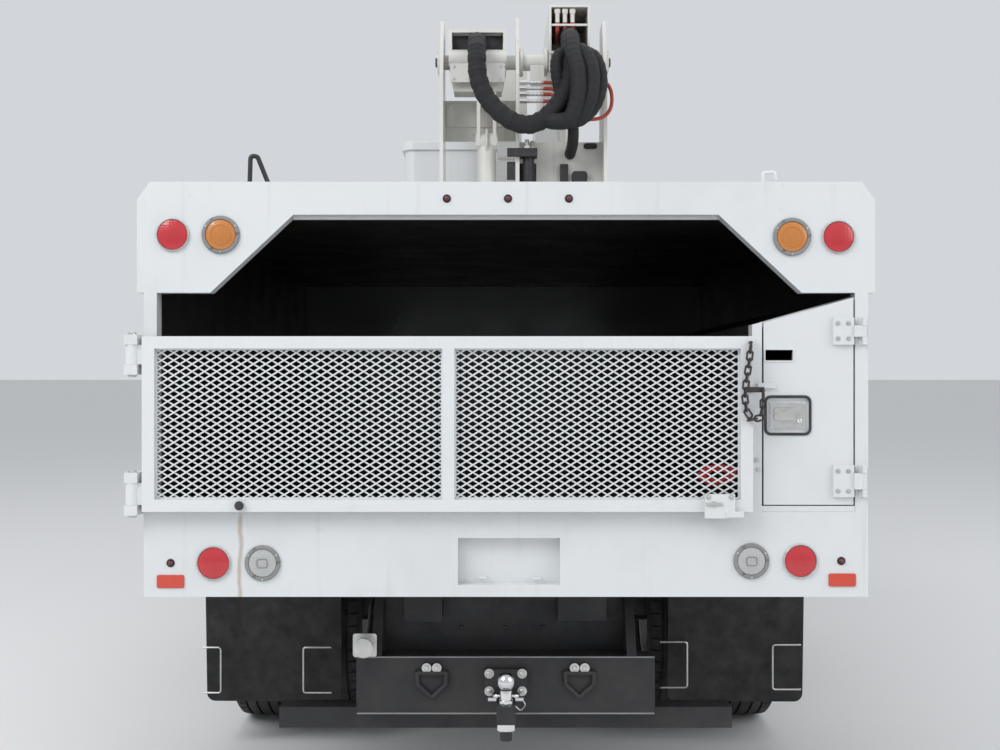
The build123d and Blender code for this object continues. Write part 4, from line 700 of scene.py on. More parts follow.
# share of the half width, share of the radius
SIDE_WALL = np.array([
    (0.88, 0.986), (0.95, 0.965), (0.99, 0.92), (1.0, 0.80), (0.985, 0.72), (0.95, 0.65),
    (0.90, 0.60), (0.80, 0.575),
])
BEAD_WIDTH = 0.72
BLOCK_PHASES = np.array([0.0, 0.30, 0.34, 0.56, 0.60])
BLOCK_NOTCH = (0.0, 0.0, 1.0, 1.0, 0.0)


def tyre_surface(centre_x, axle_y, radius):
    """One tyre, closed: its radius is crown(a) - grooves(a) - shoulder notches(a, t), turned about X."""
    depth = sizes().tread_depth
    inner, outer = GROOVE_HALF - GROOVE_SLOPE, GROOVE_HALF
    edges = np.concatenate([[g - outer, g - inner, g + inner, g + outer] for g in GROOVES])
    tread = np.sort(np.concatenate([edges, TREAD_STEPS]))
    crown = radius - CROWN_DROP * tread**2
    inside = np.zeros_like(tread)
    for g in GROOVES:
        inside += np.abs(tread - g) < GROOVE_HALF - GROOVE_SLOPE / 2
    side_a, side_r = SIDE_WALL[:, 0], SIDE_WALL[:, 1] * radius
    a = np.concatenate([-side_a[::-1], tread, side_a, [BEAD_WIDTH, -BEAD_WIDTH]])
    r = np.concatenate([side_r[::-1], crown - depth * inside, side_r, [BEAD_RADIUS, BEAD_RADIUS]])
    shoulder = np.concatenate([
        np.r_[np.zeros(len(side_a) - 2), 1.0, 1.0], (np.abs(tread) > SHOULDER).astype(float),
        np.r_[1.0, 1.0, np.zeros(len(side_a) - 2)], [0.0, 0.0],
    ])
    blocks = int(2 * pi * radius / sizes().tread_blocks)
    notch = np.tile(BLOCK_NOTCH, blocks)
    t = ((np.arange(blocks)[:, None] + BLOCK_PHASES[None]) / blocks * 2 * pi).ravel()[:, None]
    reach = r[None] - NOTCH_SHARE * depth * notch[:, None] * shoulder[None]
    x = np.broadcast_to(centre_x + TYRE_WIDTH / 2 * a[None], reach.shape)
    return np.stack([x, axle_y + reach * np.cos(t), radius + reach * np.sin(t)], -1), True, True


class TRUCK_OT_tyres(bpy.types.Operator):
    """Turns the six tyres with grooves, shoulder blocks and rounded side walls"""
    bl_idname = "truck.tyres"
    bl_label = "Tyres"

    def execute(self, context):
        for node, body, count in (
            ("tyre_front_left", "wheel_front_left", 1), ("tyre_front_right", "wheel_front_right", 1),
            ("tyres_rear_left", "wheels_rear_left", 2), ("tyres_rear_right", "wheels_rear_right", 2),
        ):
            low, high = node_low(node), node_high(node)
            radius = (high[2] - low[2]) / 2
            axle_y = (low[1] + high[1]) / 2
            centres = np.linspace(low[0] + TYRE_WIDTH / 2, high[0] - TYRE_WIDTH / 2, count)
            grids = [tyre_surface(x, axle_y, radius) for x in centres]
            tyre = fitted(f"{node}_tread", grids, "tyre", body, crease=30.0)
            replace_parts(tyre, node)
        return {"FINISHED"}


# Tail lamps

# kind, x, z, radius
ROUND_LAMPS = (
    ("red", -1.122, 2.072, 0.050), ("amber", -0.960, 2.072, 0.050), ("amber", 0.963, 2.065, 0.050),
    ("red", 1.119, 2.065, 0.050), ("red", -0.984, 0.967, 0.052), ("clear", -0.819, 0.967, 0.046),
    ("clear", 0.826, 0.974, 0.046), ("red", 0.991, 0.974, 0.052),
)
# x, z
MARKERS = ((-0.199, 2.194), (0.007, 2.194), (0.212, 2.194), (-1.129, 0.967), (1.129, 0.974))
REFLECTOR_SIZE = (0.092, 0.044, 0.005)
REFLECTORS = ((-1.129, 0.905), (1.132, 0.910))
LENS_OUT = 0.006
LENS_LIP = 0.0012
BEZEL_STEPS = 96
BEZEL_NOTCHES = 3
BEZEL_OUT = 0.009
NOTCH_OUT = 0.004
RING_GAP = 0.0015
BEZEL_REACH = 0.014
RIM_REACH = 0.006
SCREW_REACH = 0.008
FRAME_OUT = 0.0108
# out of the tail's face, share of the lens's radius
AMBER_RING = ((0.0090, 0.62), (0.0108, 0.63), (0.0108, 0.70), (0.0088, 0.71))
SCREW = capped((0.0, 0.0042), (0.0015, 0.0036), (0.0018, 0.0))
SCREW_TURNS = (-pi / 2, pi / 6, 5 * pi / 6)
MARKER = ((0.011, 0.0), (0.010, 0.004), (0.007, 0.008), (0.002, 0.0105), (0.0, 0.0105), (0.0, 0.0))
GROMMET = ((0.0, 0.0105), (0.003, 0.0105), (0.004, 0.012), (0.002, 0.014), (0.0, 0.014))
FRAME_CORNERS = ((-0.017, -0.014), (0.017, -0.014), (0.017, 0.014), (-0.017, 0.014))


def lens_dome(x, z, radius, crown):
    """A lens: its height is LENS_OUT + crown * (1 - (r / R)^2), with a small step down at its rim."""
    r = np.linspace(0, radius, 9)
    dome = np.stack([LENS_OUT + crown * (1 - (r / radius) ** 2), r], -1)
    rim = radius + LENS_LIP
    profile = np.concatenate([dome, [[0.002, rim], [0.0, rim], [0.0, 0.0]]])
    return turned(profile, (x, 0.0, z), -FORWARD, 48)


def lens_ring(x, z, inner, outer, notches):
    """A bezel: a flat ring with bevelled lips, whose face is sunk at evenly spaced notches."""
    profile = [(0.0, inner), (0.0075, inner), (BEZEL_OUT, inner + 0.0015),
               (BEZEL_OUT, outer - 0.003), (0.006, outer), (0.0, outer)]
    grid, wrap_rows, wrap_columns = turned(profile, (x, 0.0, z), -FORWARD, BEZEL_STEPS, True)
    if notches:
        t = np.linspace(0, 2 * pi, BEZEL_STEPS, endpoint=False)
        near = np.abs((t * notches / (2 * pi) + 0.25) % 1 - 0.5) < 0.035 * notches / 3
        sunk = grid[near][:, 2:4]
        sunk[..., 1] = TAIL_Y - NOTCH_OUT
        grid[near, 2:4] = sunk
    return grid, wrap_rows, wrap_columns


class TRUCK_OT_tail_lamps(bpy.types.Operator):
    """Sets the round lenses with their bezels, the small markers and the flat reflectors"""
    bl_idname = "truck.tail_lamps"
    bl_label = "Tail lamps"

    def execute(self, context):
        lamps = {"red": [], "amber": [], "clear": []}
        for kind, *lamp in ROUND_LAMPS:
            lamps[kind].append(lamp)
        with_bezel = [lamp for kind, *lamp in ROUND_LAMPS if kind != "red"]
        for kind, slot in (("red", "lamp_red"), ("amber", "lamp_red"), ("clear", "lamp_clear")):
            domes = [lens_dome(x, z, r, sizes().lens_crown * 0.75) for x, z, r in lamps[kind]]
            lenses = fitted(f"tail_lenses_{kind}", domes, kind, "chip_box")
            if kind == "red":
                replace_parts(lenses, "rear_lamps")
        rings = [lens_ring(x, z, r + RING_GAP, r + BEZEL_REACH, BEZEL_NOTCHES)
                 for x, z, r in with_bezel]
        fitted("tail_lamp_bezels", rings, "bezel", "chip_box")
        rims = [lens_ring(x, z, r + RING_GAP, r + RIM_REACH, 0) for x, z, r in lamps["red"]]
        fitted("tail_lamp_rims", rims, "clear", "chip_box")
        inner = []
        for x, z, r in lamps["amber"]:
            profile = [(out, share * r) for out, share in AMBER_RING]
            inner.append(turned(profile, (x, 0.0, z), -FORWARD, 48, True))
        fitted("amber_inner_rings", inner, "amber", "chip_box")
        frames = [loop([(x + dx, -FRAME_OUT, z + dz) for dx, dz in FRAME_CORNERS], 0.008, 0.0022)
                  for x, z, r in lamps["clear"]]
        fitted("clear_lens_frames", frames, "bezel", "chip_box")
        screws = []
        for x, z, r in with_bezel:
            screws += [turned(SCREW, (across, -BEZEL_OUT, up), -FORWARD, 14)
                       for across, up in circle(x, z, r + SCREW_REACH, SCREW_TURNS)]
        fitted("bezel_screws", screws, "steel", "chip_box")
        markers = [turned(MARKER, (x, 0.0, z), -FORWARD, 24) for x, z in MARKERS]
        fitted("marker_lenses", markers, "dark red", "chip_box")
        rings = [turned(GROMMET, (x, 0.0, z), -FORWARD, 24, True) for x, z in MARKERS]
        fitted("marker_grommets", rings, "gasket", "chip_box")
        plates = [upright((x, 0.0, z), *REFLECTOR_SIZE, 0.006, 0.0015) for x, z in REFLECTORS]
        fitted("tail_reflectors", plates, "reflector", "chip_box")
        return {"FINISHED"}


# Flaps, wires and hooks

FLAP_NEAR = 0.700
FLAP_FAR = 1.280
FLAP_LOW = 0.195
FLAP_CURL = 0.05
FLAP_WAVE = 0.012
FLAP_BOLTS = (-0.24, -0.08, 0.08, 0.24)
RAIL_FACE = 0.432
ARM_SIZE = 0.050
GRAB_BAR = ((-0.869, 0.03, 2.24), (-0.866, 0.03, 2.345), (-0.842, 0.03, 2.340), (-0.802, 0.03, 2.24))
ROOF_HOOK = ((0.872, 0.03, 2.24), (0.872, 0.03, 2.286), (0.912, 0.03, 2.288), (0.915, 0.03, 2.262))
# closed side's x, open ends' x, low z, high z
WIRE_HOOPS = ((-1.210, -1.286, 0.246, 0.439), (-0.858, -0.738, 0.246, 0.439),
              (0.778, 0.662, 0.268, 0.462), (1.142, 1.262, 0.260, 0.450))
SILL_HOOKS = ((-0.078, 0.915), (0.104, 0.912))


class TRUCK_OT_wires(bpy.types.Operator):
    """Hangs the mud flaps on their arms and bends the wire hoops, the grab bar and the small hooks"""
    bl_idname = "truck.wires"
    bl_label = "Flaps, wires and hooks"

    def execute(self, context):
        ahead = node_low("mud_flaps")[1] - TAIL_Y - 0.004
        top = node_high("mud_flaps")[2]
        height = top - FLAP_LOW
        reach = FLAP_FAR - RAIL_FACE
        outline = rounded_rectangle(FLAP_FAR - FLAP_NEAR, height, 0.035)
        steps = [(0.0, 0.0), (0.0, 0.013), (0.001, 0.014)]
        sheets, arms, heads = [], [], []
        for side in (-1, 1):
            middle = side * (FLAP_NEAR + FLAP_FAR) / 2
            sheet = slab(outline, steps, (middle, ahead + 0.018, top - height / 2), RIGHT, UP)
            grid = sheet[0]
            drop = np.clip((top - grid[..., 2]) / height, 0, 1)
            # A flap curls ahead by the cube of its drop, and waves across by the square of it
            wave = np.sin(3.2 * pi * (grid[..., 0] - middle))
            grid[..., 1] += FLAP_CURL * drop**3 - FLAP_WAVE * wave * drop**2
            sheets.append(sheet)
            arm = (side * (RAIL_FACE + reach / 2), ahead + 0.068, top - 0.035)
            arms.append(upright(arm, reach, ARM_SIZE, ARM_SIZE))
            heads += bolts([(middle + dx, ahead + 0.004, top - 0.035) for dx in FLAP_BOLTS], -FORWARD)
        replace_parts(fitted("flap_sheets", sheets, "flap", "chassis"), "mud_flaps")
        fitted("flap_arms", arms, "black", "chassis")
        fitted("flap_bolts", heads, "steel", "chassis")
        hoops = []
        for closed_x, open_x, z0, z1 in WIRE_HOOPS:
            corners = ((open_x, z1), (closed_x, z1), (closed_x, z0), (open_x, z0))
            hoops.append(pipe([(x, ahead, z) for x, z in corners], 0.012, 0.004, 8))
        fitted("flap_wire_hoops", hoops, "steel", "chassis")
        fitted("roof_grab_bar", [pipe(GRAB_BAR, 0.012, 0.008)], "black", "chip_box")
        hooks = [pipe(ROOF_HOOK, 0.010, 0.006)]
        for x, z in SILL_HOOKS:
            corners = ((-0.012, 0.041), (-0.012, 0.012), (0.012, 0.012), (0.012, 0.041))
            hooks.append(pipe([(x + dx, out, z) for dx, out in corners], 0.006, 0.003, 8))
        fitted("box_hooks", hooks, "gate", "chip_box")
        return {"FINISHED"}


# Gate and locker fittings

# low z, high z
GATE_HINGE_BANDS = ((1.132, 1.274), (1.601, 1.735))
DOOR_HINGE_BANDS = ((1.190, 1.297), (1.702, 1.793))
# left x, right x, low z, high z
DOOR_SILL = (0.862, 1.176, 1.139, 1.159)
LATCH_AHEAD = -0.062
LATCH_BAR = ((0.663, -0.0655, 1.171), (0.690, -0.0655, 1.173), (0.717, -0.0655, 1.171))
GATE_KNOB = capped((0.0, 0.007), (0.004, 0.008), (0.007, 0.014), (0.014, 0.0155), (0.018, 0.012),
                   (0.020, 0.0))
LATCH_DISC = capped((0.0, 0.010), (0.003, 0.010))
HINGE_CAP = capped((0.0, 0.015), (0.005, 0.015), (0.008, 0.011))
LOCK_BUTTON = capped((0.0, 0.008), (0.003, 0.008), (0.004, 0.006), (0.002, 0.003))


def rectangle(x0, x1, ahead, z0, z1):
    """The corners of an upright rectangle."""
    return [(x0, ahead, z0), (x1, ahead, z0), (x1, ahead, z1), (x0, ahead, z1)]


class TRUCK_OT_tail_fittings(bpy.types.Operator):
    """Adds the gate's latch, knob and red line, and the locker's latch, frames, bolts and sill"""
    bl_idname = "truck.tail_fittings"
    bl_label = "Tail fittings"

    def execute(self, context):
        latch = [
            turned(LATCH_DISC, (0.690, LATCH_AHEAD, 1.171), -FORWARD, 20),
            pipe(LATCH_BAR, 0.004, 0.0042),
            *bolts([(x, LATCH_AHEAD, 1.195) for x in (0.672, 0.748)], -FORWARD, 0.005),
        ]
        fitted("gate_latch", latch, "steel", "gate")
        tag = upright((0.7595, -0.0622, 1.137), 0.061, 0.020, 0.003)
        fitted("gate_tag", [tag], "gate", "gate")
        knob = turned(GATE_KNOB, (-0.886, -0.048, 1.166), -FORWARD, 28)
        fitted("gate_knob", [knob], "gasket", "gate")
        # The red line is a loose coil: an ellipse with a smaller and faster one added
        t = np.linspace(0.0, 6 * pi, 200)
        line = at(0.713, 0.006, 1.263) + np.stack([
            0.052 * np.cos(t) + 0.010 * np.cos(2.4 * t), 0.004 * np.sin(1.5 * t),
            0.024 * np.sin(t) + 0.008 * np.sin(1.7 * t + 0.6),
        ], -1)
        fitted("gate_red_line", [swept(line, 0.0058, 8)], "rope", "gate")
        pins = [turned(HINGE_CAP, (-1.250, -0.028, z), way, 24)
                for low, high in GATE_HINGE_BANDS for z, way in ((high, UP), (low, -UP))]
        pins += bolts([(0.8455, 0.0, 1.314), (0.8489, 0.0, 1.281)], -FORWARD, 0.005)
        fitted("gate_hinge_pins", pins, "steel", "chip_box")
        heads = bolts([(x, -0.012, z) for low, high in DOOR_HINGE_BANDS for x in (1.115, 1.150)
                       for z in (low + 0.02, high - 0.02)], -FORWARD, 0.0045)
        fitted("locker_hinge_bolts", heads, "steel", "locker_door")
        gasket = loop(rectangle(0.874, 1.024, -0.001, 1.401, 1.527), 0.020, 0.005)
        fitted("locker_latch_gasket", [gasket], "gasket", "locker_door")
        slot = loop(rectangle(0.871, 0.969, -0.0005, 1.646, 1.687), 0.005, 0.003)
        shelf = upright((0.876, 0.0, 1.564), 0.060, 0.018, 0.012)
        fitted("locker_slot_frame", [slot, shelf], "body", "locker_door")
        dish = [
            upright((0.949, 0.002, 1.464), 0.114, 0.084, 0.0012, 0.010, 0.0004),
            upright((0.938, 0.0008, 1.468), 0.072, 0.044, 0.006, 0.010),
            turned(LOCK_BUTTON, (0.988, 0.0008, 1.446), -FORWARD, 24),
        ]
        fitted("locker_latch", dish, "steel", "locker_door")
        x0, x1, z0, z1 = DOOR_SILL
        sill = upright(((x0 + x1) / 2, 0.018, (z0 + z1) / 2), x1 - x0, z1 - z0, 0.016, 0.001)
        fitted("locker_sill", [sill], "body", "chip_box")
        return {"FINISHED"}


# Hitch

BALL_RADIUS = 0.0306
BALL_TOP = 0.0285
BALL_AHEAD = -0.030
SOCKET_PLACE = (-0.500, 0.235, 0.640)
SHANK = ((-0.075, 0.024), (-0.062, 0.024), (-0.058, 0.0205), (-0.030, 0.0205))
SHANK_NUT = capped((0.0, 0.033), (0.024, 0.033), (0.028, 0.028))
PIN = ((-0.062, 0.150, 0.470), (0.0, 0.150, 0.4702), (0.062, 0.150, 0.470))
PIN_CLIP = ((0.055, 0.150, 0.470), (0.070, 0.150, 0.452), (0.052, 0.150, 0.428),
            (0.034, 0.150, 0.446))
CHAIN_EYE = ((-0.040, 0.020, 0.520), (-0.040, -0.005, 0.520), (0.040, -0.005, 0.520),
             (0.040, 0.020, 0.520))
SOCKET = capped((0.0, 0.030), (0.045, 0.030), (0.050, 0.034), (0.058, 0.034), (0.060, 0.028))
CABLE = ((-0.500, 0.240, 0.640), (-0.500, 0.330, 0.640), (-0.490, 0.370, 0.760),
         (-0.470, 0.700, 0.800))
PLATE_EDGES = (0.398, 0.598)


class TRUCK_OT_hitch(bpy.types.Operator):
    """Adds the chrome ball, its nut and pin, the plate's bolts, and the trailer socket and cable"""
    bl_idname = "truck.hitch"
    bl_label = "Hitch fittings"

    def execute(self, context):
        t = np.linspace(-0.9, pi / 2, 14)
        # The ball is an arc of (sin t, cos t) that is cut flat on top
        ball = BALL_RADIUS * np.stack([np.sin(t), np.cos(t)], -1)
        ball = ball[ball[:, 0] < BALL_TOP]
        chrome = [
            turned(capped(*SHANK, *ball), (0.0, BALL_AHEAD, 0.575), UP, 36),
            turned(SHANK_NUT, (0.0, BALL_AHEAD, 0.4395), -UP, 6),
            pipe(PIN, 0.004, 0.008), pipe(PIN_CLIP, 0.010, 0.0025, 8), pipe(CHAIN_EYE, 0.015, 0.007),
        ]
        fitted("tow_ball_chrome", chrome, "chrome", "chassis")
        heads = [(x, 0.204, z) for x in (-0.058, 0.058) for z in (0.484, 0.546)]
        heads += [(x + dx, 0.215, 0.563) for x in (-0.262, 0.262) for dx in (-0.018, 0.018)]
        fitted("hitch_bolts", bolts(heads, -FORWARD, 0.0095), "steel", "chassis")
        socket = [turned(SOCKET, SOCKET_PLACE, -FORWARD, 32),
                  upright((-0.500, 0.232, 0.640), 0.085, 0.085, 0.004, 0.010)]
        fitted("trailer_socket", socket, "steel", "chassis")
        # Pale grey beads along the hitch plate's top and bottom edges: a painted highlight where light
        # catches them
        edge_highlights = [pipe([(x, 0.230, z) for x in (-0.528, 0.0, 0.528)], 0.002, 0.003, 8)
                 for z in PLATE_EDGES]
        fitted("trailer_cable", [pipe(CABLE, 0.04, 0.008)], "black", "chassis")
        fitted("hitch_edge_highlights", edge_highlights, "bezel", "chassis")
        return {"FINISHED"}


# Seats

SEAT_AHEAD = 5.56
# half width, back, front, low, high, crown, lean
SEAT_PADS = (
    (0.25, -0.02, 0.48, 1.29, 1.42, 0.012, 0.0), (0.24, -0.018, 0.10, 1.42, 2.07, 0.008, -0.13),
    (0.13, -0.083, 0.0, 2.075, 2.24, 0.006, 0.0),
)
SQUARENESS = 0.32
END_ROUNDING = 0.28


def cushion(x0, x1, y0, y1, z0, z1, crown, lean):
    """A crowned pad on a superellipse section.

    Its top rises by crown * (1 - u^4) * (1 - v^4), and lean is its slope ahead for each metre up.
    """
    u = np.linspace(-1, 1, 25)
    t = np.linspace(0, 2 * pi, 64, endpoint=False)
    ring_x = np.sign(np.cos(t)) * np.abs(np.cos(t)) ** SQUARENESS
    ring_z = np.sign(np.sin(t)) * np.abs(np.sin(t)) ** SQUARENESS
    ends = (1 - np.abs(u) ** 8) ** END_ROUNDING
    cx, cy, cz = (x0 + x1) / 2, (y0 + y1) / 2, (z0 + z1) / 2
    hx, hy, hz = (x1 - x0) / 2 - crown, (y1 - y0) / 2 - crown, (z1 - z0) / 2 - crown
    swell = 1 + crown / hz * (1 - u[:, None] ** 4) * (1 - ring_x[None] ** 4) * (ring_z[None] > 0)
    x = cx + hx * ends[:, None] * ring_x[None]
    z = cz + hz * ends[:, None] * ring_z[None] * swell
    y = np.broadcast_to(TAIL_Y + cy + hy * u[:, None], x.shape) + lean * (z - z0)
    return np.stack([x, y, z], -1), False, True


class TRUCK_OT_seats(bpy.types.Operator):
    """Sets the two cab seats on their bases and pads them"""
    bl_idname = "truck.seats"
    bl_label = "Seats"

    def execute(self, context):
        bases = []
        low, near = node_low("cab_seats")[2], SEAT_AHEAD
        for word, x in (("left", -0.45), ("right", 0.45)):
            bases.append(plate((x, near + 0.21, low), RIGHT, FORWARD, 0.360, 0.420, 0.272, 0.020))
            pads = [cushion(x - half, x + half, near + back, near + front, *rest)
                    for half, back, front, *rest in SEAT_PADS]
            seat = fitted(f"seat_pads_{word}", pads, "cloth", "chassis", crease=60.0)
        base = fitted("seat_bases", bases, "black", "chassis")
        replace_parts(base, "cab_seats")
        return {"FINISHED"}


# Hoses

BUNDLE_RADIUS = 0.057
FINER = 6
BUNDLE_ROUTE = (
    (-0.165, 3.76, 3.7104), (-0.165, 3.52, 3.7104), (-0.160, 3.50, 3.33), (0.150, 3.48, 3.08),
    (0.410, 3.50, 3.33), (0.420, 3.56, 3.69), (0.420, 3.85, 3.81),
)
SLEEVE_RIPPLE = 0.0016
# radius, route
SLEEVED_ROUTES = (
    (0.040, ((0.250, 3.490, 3.190), (0.420, 3.490, 3.130), (0.570, 3.480, 3.240), (0.615, 3.490, 3.420),
             (0.570, 3.510, 3.590), (0.450, 3.560, 3.600), (0.425, 3.600, 3.760), (0.425, 3.860, 3.760))),
    (0.050, ((0.250, 3.490, 3.180), (0.420, 3.450, 3.130), (0.530, 3.430, 3.260), (0.550, 3.430, 3.460),
             (0.500, 3.480, 3.600), (0.425, 3.520, 3.600), (0.425, 3.600, 3.750), (0.425, 3.860, 3.750))),
    (0.040, ((0.300, 3.520, 3.180), (0.410, 3.550, 3.200), (0.350, 3.530, 3.360), (0.325, 3.510, 3.500),
             (0.340, 3.530, 3.590), (0.410, 3.560, 3.600), (0.410, 3.620, 3.740), (0.420, 3.860, 3.750))),
    (0.052, ((0.250, 3.490, 3.180), (0.400, 3.420, 3.120), (0.460, 3.400, 3.280), (0.460, 3.400, 3.460),
             (0.420, 3.460, 3.600), (0.415, 3.570, 3.740), (0.415, 3.860, 3.740))),
    (0.045, ((0.300, 3.520, 3.190), (0.440, 3.560, 3.200), (0.490, 3.560, 3.360), (0.480, 3.560, 3.520),
             (0.430, 3.560, 3.620), (0.425, 3.620, 3.740), (0.425, 3.860, 3.750))),
    (0.034, ((0.425, 3.500, 3.230), (0.430, 3.500, 3.160), (0.435, 3.520, 3.090), (0.435, 3.640, 3.040),
             (0.430, 3.760, 3.020), (0.430, 3.835, 3.020))),
)
RED_LOOP = (
    (0.560, 3.560, 3.460), (0.640, 3.590, 3.440), (0.682, 3.580, 3.360), (0.672, 3.570, 3.240),
    (0.580, 3.560, 3.180), (0.470, 3.530, 3.190),
)
RED_HOSE_RADIUS = 0.0115


class TRUCK_OT_hoses(bpy.types.Operator):
    """Runs the sleeved bundle from the box beam into the boom's mouth"""
    bl_idname = "truck.hoses"
    bl_label = "Hoses"

    def execute(self, context):
        line, length = hose_line(BUNDLE_ROUTE)
        s = np.linspace(0, len(line) - 1, FINER * len(line))
        line = np.stack([np.interp(s, np.arange(len(line)), line[:, k]) for k in range(3)], -1)
        # The sleeve's radius ripples by two sines along its line
        ripple = BUNDLE_RADIUS + 0.002 * np.sin(s * 2.1) + 0.001 * np.sin(s * 5.3)
        sleeve = fitted("hose_sleeve", [swept(line, ripple, 28)], "sleeve", "turret",
                        uv_size=(0.3, length))
        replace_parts(sleeve, "hose_bundle")
        sleeve.parent = None
        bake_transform(sleeve)
        return {"FINISHED"}


# Turret and boom fittings

PIVOT = (3.830, 3.610)
PIVOT_BOLTS = 0.070
RIGHT_PLATE_X = 0.655
LEFT_PLATE_X = -0.400
SLEW_CENTRE = (0.137, 3.890)
SLEW_BOLTS = 0.325
FREE_SINE = 0.86
MOUTH_HOSES = (0.345, 0.393, 0.441)
# route of (ahead, z), bend, radius
MOUTH_TAILS = (
    (((3.735, 3.918), (3.750, 3.922), (3.900, 3.922), (4.280, 3.860)), 0.004, 0.012),
    (((3.735, 3.846), (3.735, 3.790), (3.850, 3.760)), 0.03, 0.013),
)
BOSS = capped((0.0, 0.088), (0.010, 0.088), (0.014, 0.082), (0.014, 0.058), (0.022, 0.056))
COLLAR = ((0.0, 0.052), (0.0, 0.090), (0.020, 0.090), (0.024, 0.080), (0.024, 0.052))
PIN_HEAD = capped((0.0, 0.030), (0.010, 0.030), (0.013, 0.026))
PIN_END = capped((0.0, 0.034), (0.006, 0.034), (0.009, 0.028))
ELBOW_CAP = capped((0.0, 0.078), (0.012, 0.078), (0.016, 0.070))


class TRUCK_OT_turret(bpy.types.Operator):
    """Fits the turret and the boom's root with bosses, bolts, hose ends, valve boxes and hoses"""
    bl_idname = "truck.turret"
    bl_label = "Turret fittings"

    def execute(self, context):
        whites = [
            turned(BOSS, (RIGHT_PLATE_X, *PIVOT), RIGHT, 40),
            turned(BOSS, (LEFT_PLATE_X, *PIVOT), -RIGHT, 40),
            turned(BOSS, (-0.100, 3.800, 3.090), -RIGHT, 32),
            *(turned(COLLAR, (x, *PIVOT), RIGHT, 40, True) for x in (0.104, 0.262, 0.556)),
            upright((-0.1625, 3.698, 3.512), 0.346, 0.120, 0.012, 0.010),
            drum((0.520, 3.740, 2.330), (0.520, 3.740, 2.560), 0.062),
            upright((-0.162, 3.990, 3.300), 0.420, 0.150, 0.010, 0.020),
            upright((0.216, 3.760, 3.503), 0.088, 0.120, 0.060, 0.006),
        ]
        fitted("turret_bosses", whites, "boom", "turret")
        spots = circle(*PIVOT, PIVOT_BOLTS, np.arange(6) * pi / 3)
        steels = bolts([(RIGHT_PLATE_X + 0.014, *spot) for spot in spots], RIGHT, 0.007)
        steels += bolts([(LEFT_PLATE_X - 0.014, *spot) for spot in spots], -RIGHT, 0.007)
        heads = [(-0.1625 + dx, 3.686, 3.512 + dz) for dx in (-0.15, -0.05, 0.05, 0.15)
                 for dz in (-0.04, 0.04)]
        heads += [(-0.162 + dx, 3.980, 3.300 + dz) for dx in (-0.18, 0.18) for dz in (-0.05, 0.05)]
        steels += bolts(heads, -FORWARD)
        ring = [a for a in np.linspace(0, 2 * pi, 36, endpoint=False) if abs(np.sin(a)) > FREE_SINE]
        heads = [(*spot, 2.290) for spot in circle(*SLEW_CENTRE, SLEW_BOLTS, ring)]
        steels += bolts(heads, UP, 0.012)
        ends = [(0.104, 3.680, z) for z in (3.329, 3.373, 3.410, 3.447)]
        for place in ends:
            steels += hose_end(place, RIGHT, 0.150, 0.012)
        for place in ((0.150, 3.650, 3.0205), (0.185, 3.700, 3.0205), (0.520, 3.740, 2.556)):
            steels += hose_end(place, UP, 0.060)
        fitted("turret_hose_ends", steels, "steel", "turret")
        blacks = [
            upright((0.490, 3.838, 2.871), 0.098, 0.070, 0.050, 0.020),
            upright((0.392, 3.838, 2.880), 0.052, 0.150, 0.030, 0.006),
            upright((0.1195, 3.640, 2.996), 0.190, 0.050, 0.036, 0.005),
            upright((0.050, 3.700, 2.890), 0.052, 0.110, 0.040, 0.005),
            upright((0.158, 3.765, 2.890), 0.106, 0.110, 0.040, 0.005),
            upright((0.562, 3.840, 3.074), 0.086, 0.036, 0.010, 0.017),
            turned(PIN_HEAD, (LEFT_PLATE_X - 0.022, *PIVOT), -RIGHT, 28),
            turned(PIN_HEAD, (RIGHT_PLATE_X + 0.022, *PIVOT), RIGHT, 28),
            upright((-0.1625, 3.772, 3.715), 0.322, 0.106, 0.004, 0.004),
        ]
        fitted("valve_boxes", blacks, "gasket", "turret")
        reds = []
        for k, (x, y, z) in enumerate(ends):
            far = 0.350 + 0.02 * k
            route = [(x + 0.14, y, z), (x + 0.20, y, z), (far, y - 0.05, z - 0.05),
                     (far + 0.03, 3.60, z - 0.16)]
            reds.append(pipe(route, 0.04, RED_HOSE_RADIUS))
        reds.append(swept(hose_line(RED_LOOP)[0], RED_HOSE_RADIUS))
        fitted("turret_red_hoses", reds, "hose", "turret")
        mouths, tails = [], []
        for x in MOUTH_HOSES:
            mouths += hose_end((x, 3.735, 3.925), -UP, 0.085)
            for route, bend, radius in MOUTH_TAILS:
                tails.append(pipe([(x, y, z) for y, z in route], bend, radius))
        fitted("boom_hose_ends", mouths, "boom", "lower_boom")
        lip = upright((0.421, 3.722, 3.822), 0.228, 0.014, 0.010, 0.002)
        fitted("boom_mouth_lip", [lip], "boom", "lower_boom")
        fitted("boom_red_hoses", tails, "hose", "lower_boom")
        for k, (radius, route) in enumerate(SLEEVED_ROUTES):
            line, length = hose_line(route)
            radius = radius + SLEEVE_RIPPLE * np.sin(1.7 * np.arange(len(line)) + k)
            sleeve = fitted(f"boom_sleeve_{k + 1}", [swept(line, radius, 20)], "sleeve", "turret",
                            uv_size=(0.2, length))
            sleeve.parent = None
            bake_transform(sleeve)
        pins = [turned(PIN_END, (0.293, 4.600, 3.490), -RIGHT, 28)]
        for way, x in ((RIGHT, 0.5525), (-RIGHT, 0.2895)):
            pins += bolts([(x, 3.900 + 0.12 * k, 3.690) for k in range(4)], way)
        fitted("boom_bolts", pins, "steel", "lower_boom")
        cap = turned(ELBOW_CAP, (0.5525, 8.640, 3.700), RIGHT, 36)
        fitted("elbow_cap", [cap], "boom", "elbow_link")
        return {"FINISHED"}


# Bucket controls

LEVER_FOOT = (-0.405, 4.934, 3.079)
LEVER_PITCH = 0.05
KNOB = capped((0.0, 0.008), (0.008, 0.013), (0.020, 0.013), (0.026, 0.008), (0.028, 0.0))
